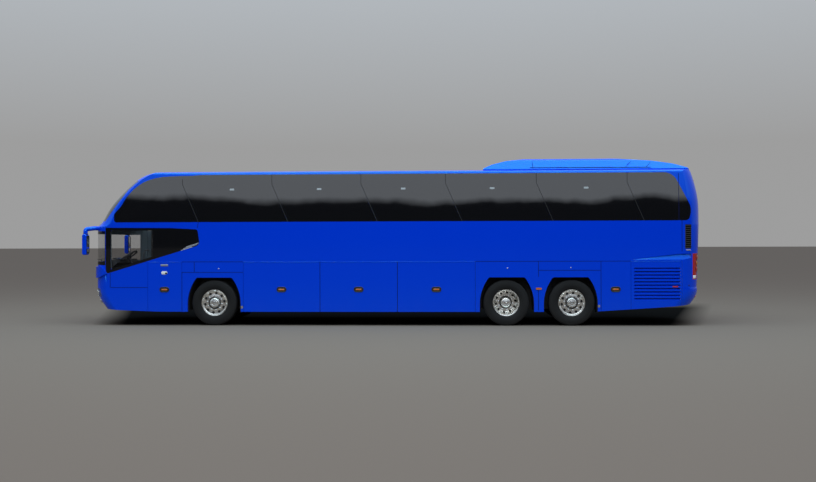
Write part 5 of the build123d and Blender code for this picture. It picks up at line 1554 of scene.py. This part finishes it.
# rear end and length of the air tanks
TANKS = ((-3.920, 0.60), (1.920, 0.34))
CHAMBER_Y = 0.500
CHAMBER_ROWS = ((0, 0.05), (0.01, 0.078), (0.07, 0.080), (0.08, 0.086), (0.10, 0.086), (0.11, 0.080),
                (0.17, 0.078), (0.18, 0.05))
PIPE_PATH = ((5.30, 0.60, 0.56), (5.60, 0.62, 0.50), (6.20, 0.62, 0.50), (6.55, 0.62, 0.52))
SILENCER_AT = Vector((5.35, 0.62, 0.50))
SILENCER_ROWS = ((0.10, 0.06), (0.11, 0.13), (0.80, 0.13), (0.81, 0.06))


def build_below():
    """Mudflaps, air tanks between the rails, brake chambers and the exhaust."""
    flaps = []
    for axle_x, behind in MUDFLAPS:
        for side, _ in SIDES:
            low_y, high_y = sorted(side * y for y in FLAP_Y)
            face = axle_x + behind
            flaps.append(box((face, low_y, FLAP_Z[0]), (face + FLAP_THICK, high_y, FLAP_Z[1])))
    add_piece("mudflaps", flaps, "root", "black_plastic", SEAL_RUBBER, smooth=False)
    tanks, chambers = [], []
    for x, length in TANKS:
        rows = ((0, 0.05), (0.010, 0.095), (0.035, 0.120), (length - 0.035, 0.120), (length - 0.010, 0.095),
                (length, 0.05))
        for y in (TANK_Y, -TANK_Y):
            tanks.append(round_part((Vector((x, y, TANK_Z)), Y_AXIS, Z_AXIS, X_AXIS), rows, 28))
    add_piece("air_tanks", tanks, "root", "chassis_paint")
    drive_x = AXLES[1][1]
    for side, _ in SIDES:
        rod = [Vector((drive_x - ahead, side * CHAMBER_Y, TANK_Z)) for ahead in (0.09, 0.20)]
        chambers.append(round_part((rod[1], Y_AXIS, Z_AXIS, -X_AXIS), CHAMBER_ROWS, 24))
        chambers.append(tube(rod, 0.02, 8))
    add_piece("brake_chambers", chambers, "root", "cast_iron")
    silencer = round_part((SILENCER_AT, Y_AXIS, Z_AXIS, X_AXIS), SILENCER_ROWS, 24)
    add_piece("exhaust", [tube(PIPE_PATH, 0.055, 14), silencer], "root", "cast_iron")


open_screen_corners()
build_wheels()
build_seams()
build_front_glass()
build_flanks()
build_front()
build_rear()
build_roof_unit()
build_inside()
build_doors()
build_below()


# Stage, lights and camera

FLOOR_HALF = 400.0
# the painted shadow on the floor: half length and the width of its edge, and where it begins and ends across
SHADE_X = (7.3, 6.5)
SHADE_NEAR_Y = (-1.35, -0.95)
SHADE_FAR_Y = (7.0, 4.6)
SHADE_SPREAD = 0.30
ZENITH = (0.82, 0.96, 1.10, 1)
HORIZON = (0.34, 0.34, 0.34, 1)
LOW_SKY = (0.70, 0.75, 0.82, 1)
TREES = (0.020, 0.022, 0.024, 1)
# name, place, target, sizes, power and colour
LAMPS = (
    ("sky_panel", (0, -4, 14), (0, 0, 1), (26, 10), 2400, (0.66, 0.90, 1.0)),
    ("side_fill", (0, -20, 11), (0, 0, 1.5), (20, 5), 800, (1.0, 1.0, 1.0)),
)


def build_stage():
    """A wide plain floor with a painted shadow under and behind the coach."""
    mesh = bpy.data.meshes.new("floor")
    corners = [(x * FLOOR_HALF, y * FLOOR_HALF, 0) for x, y in ((-1, -1), (1, -1), (1, 1), (-1, 1))]
    mesh.from_pydata(corners, [], [(0, 1, 2, 3)])
    floor = link_object("floor", mesh)
    material, shader = new_material("grey_floor", FLOOR_GREY, 0.9, Specular_IOR_Level=0.0)
    tree = material.node_tree
    x, y, _ = place_of(tree)
    spread = math_node(tree, "MULTIPLY", y, SHADE_SPREAD)
    reach = math_node(tree, "SUBTRACT", math_node(tree, "ABSOLUTE", x), spread)
    lengthwise = map_range(tree, reach, *SHADE_X)
    near = map_range(tree, y, *SHADE_NEAR_Y)
    far = map_range(tree, y, *SHADE_FAR_Y)
    shade = math_node(tree, "MULTIPLY", math_node(tree, "MULTIPLY", lengthwise, near), far)
    tree.links.new(mix_colour(tree, shade, FLOOR_GREY, FLOOR_SHADE), shader.inputs["Base Color"])
    mesh.materials.append(material)


def add_area(name, place, target, size, power, colour):
    """A soft rectangular lamp aimed at a point."""
    data = bpy.data.lights.new(name, "AREA")
    data.shape = "RECTANGLE"
    data.size, data.size_y = size
    data.energy = power
    data.color = colour
    lamp = link_object(name, data)
    lamp.location = place
    lamp.rotation_euler = (Vector(target) - Vector(place)).to_track_quat("-Z", "Y").to_euler()


def build_light():
    """An overcast world with a broad lamp above and a fill from the camera's side."""
    world = bpy.data.worlds.new("studio")
    bpy.context.scene.world = world
    world.use_nodes = True
    tree = world.node_tree
    background = tree.nodes["Background"]
    coords = add_node(tree, "ShaderNodeTexCoord")
    split = add_node(tree, "ShaderNodeSeparateXYZ")
    tree.links.new(coords.outputs["Generated"], split.inputs[0])
    height = map_range(tree, split.outputs["Z"], 0.10, 0.80)
    sky = mix_colour(tree, height, HORIZON, ZENITH)
    # on the camera's side a bright sky stands above a dark row of trees, which the glass mirrors
    crowns = math_node(tree, "MULTIPLY", noise(tree, coords.outputs["Generated"], 16.0, 5.0), 0.022)
    above = math_node(tree, "ADD", split.outputs["Z"], crowns)
    open_sky = map_range(tree, above, 0.132, 0.139)
    low_sky = mix_colour(tree, map_range(tree, split.outputs["Z"], 0.14, 0.45), LOW_SKY, ZENITH)
    mirrored_side = mix_colour(tree, open_sky, TREES, low_sky)
    facing = map_range(tree, split.outputs["Y"], -0.15, -0.45)
    seen = add_node(tree, "ShaderNodeLightPath").outputs["Is Camera Ray"]
    near_side = math_node(tree, "MULTIPLY", facing, math_node(tree, "SUBTRACT", 1.0, seen))
    tree.links.new(mix_colour(tree, near_side, sky, mirrored_side), background.inputs["Color"])
    background.inputs["Strength"].default_value = 1.0
    for row in LAMPS:
        add_area(*row)


def build_camera():
    """The photograph's camera."""
    data = bpy.data.cameras.new("camera")
    data.lens = CAMERA_LENS
    data.clip_end = 1000.0
    camera = link_object("camera", data)
    camera.location = CAMERA_PLACE
    camera.rotation_euler = (
        math.radians(90 + CAMERA_PITCH), math.radians(CAMERA_ROLL), math.radians(CAMERA_YAW)
    )
    bpy.context.scene.camera = camera


build_stage()
build_light()
build_camera()
bpy.context.scene.view_settings.view_transform = "Standard"
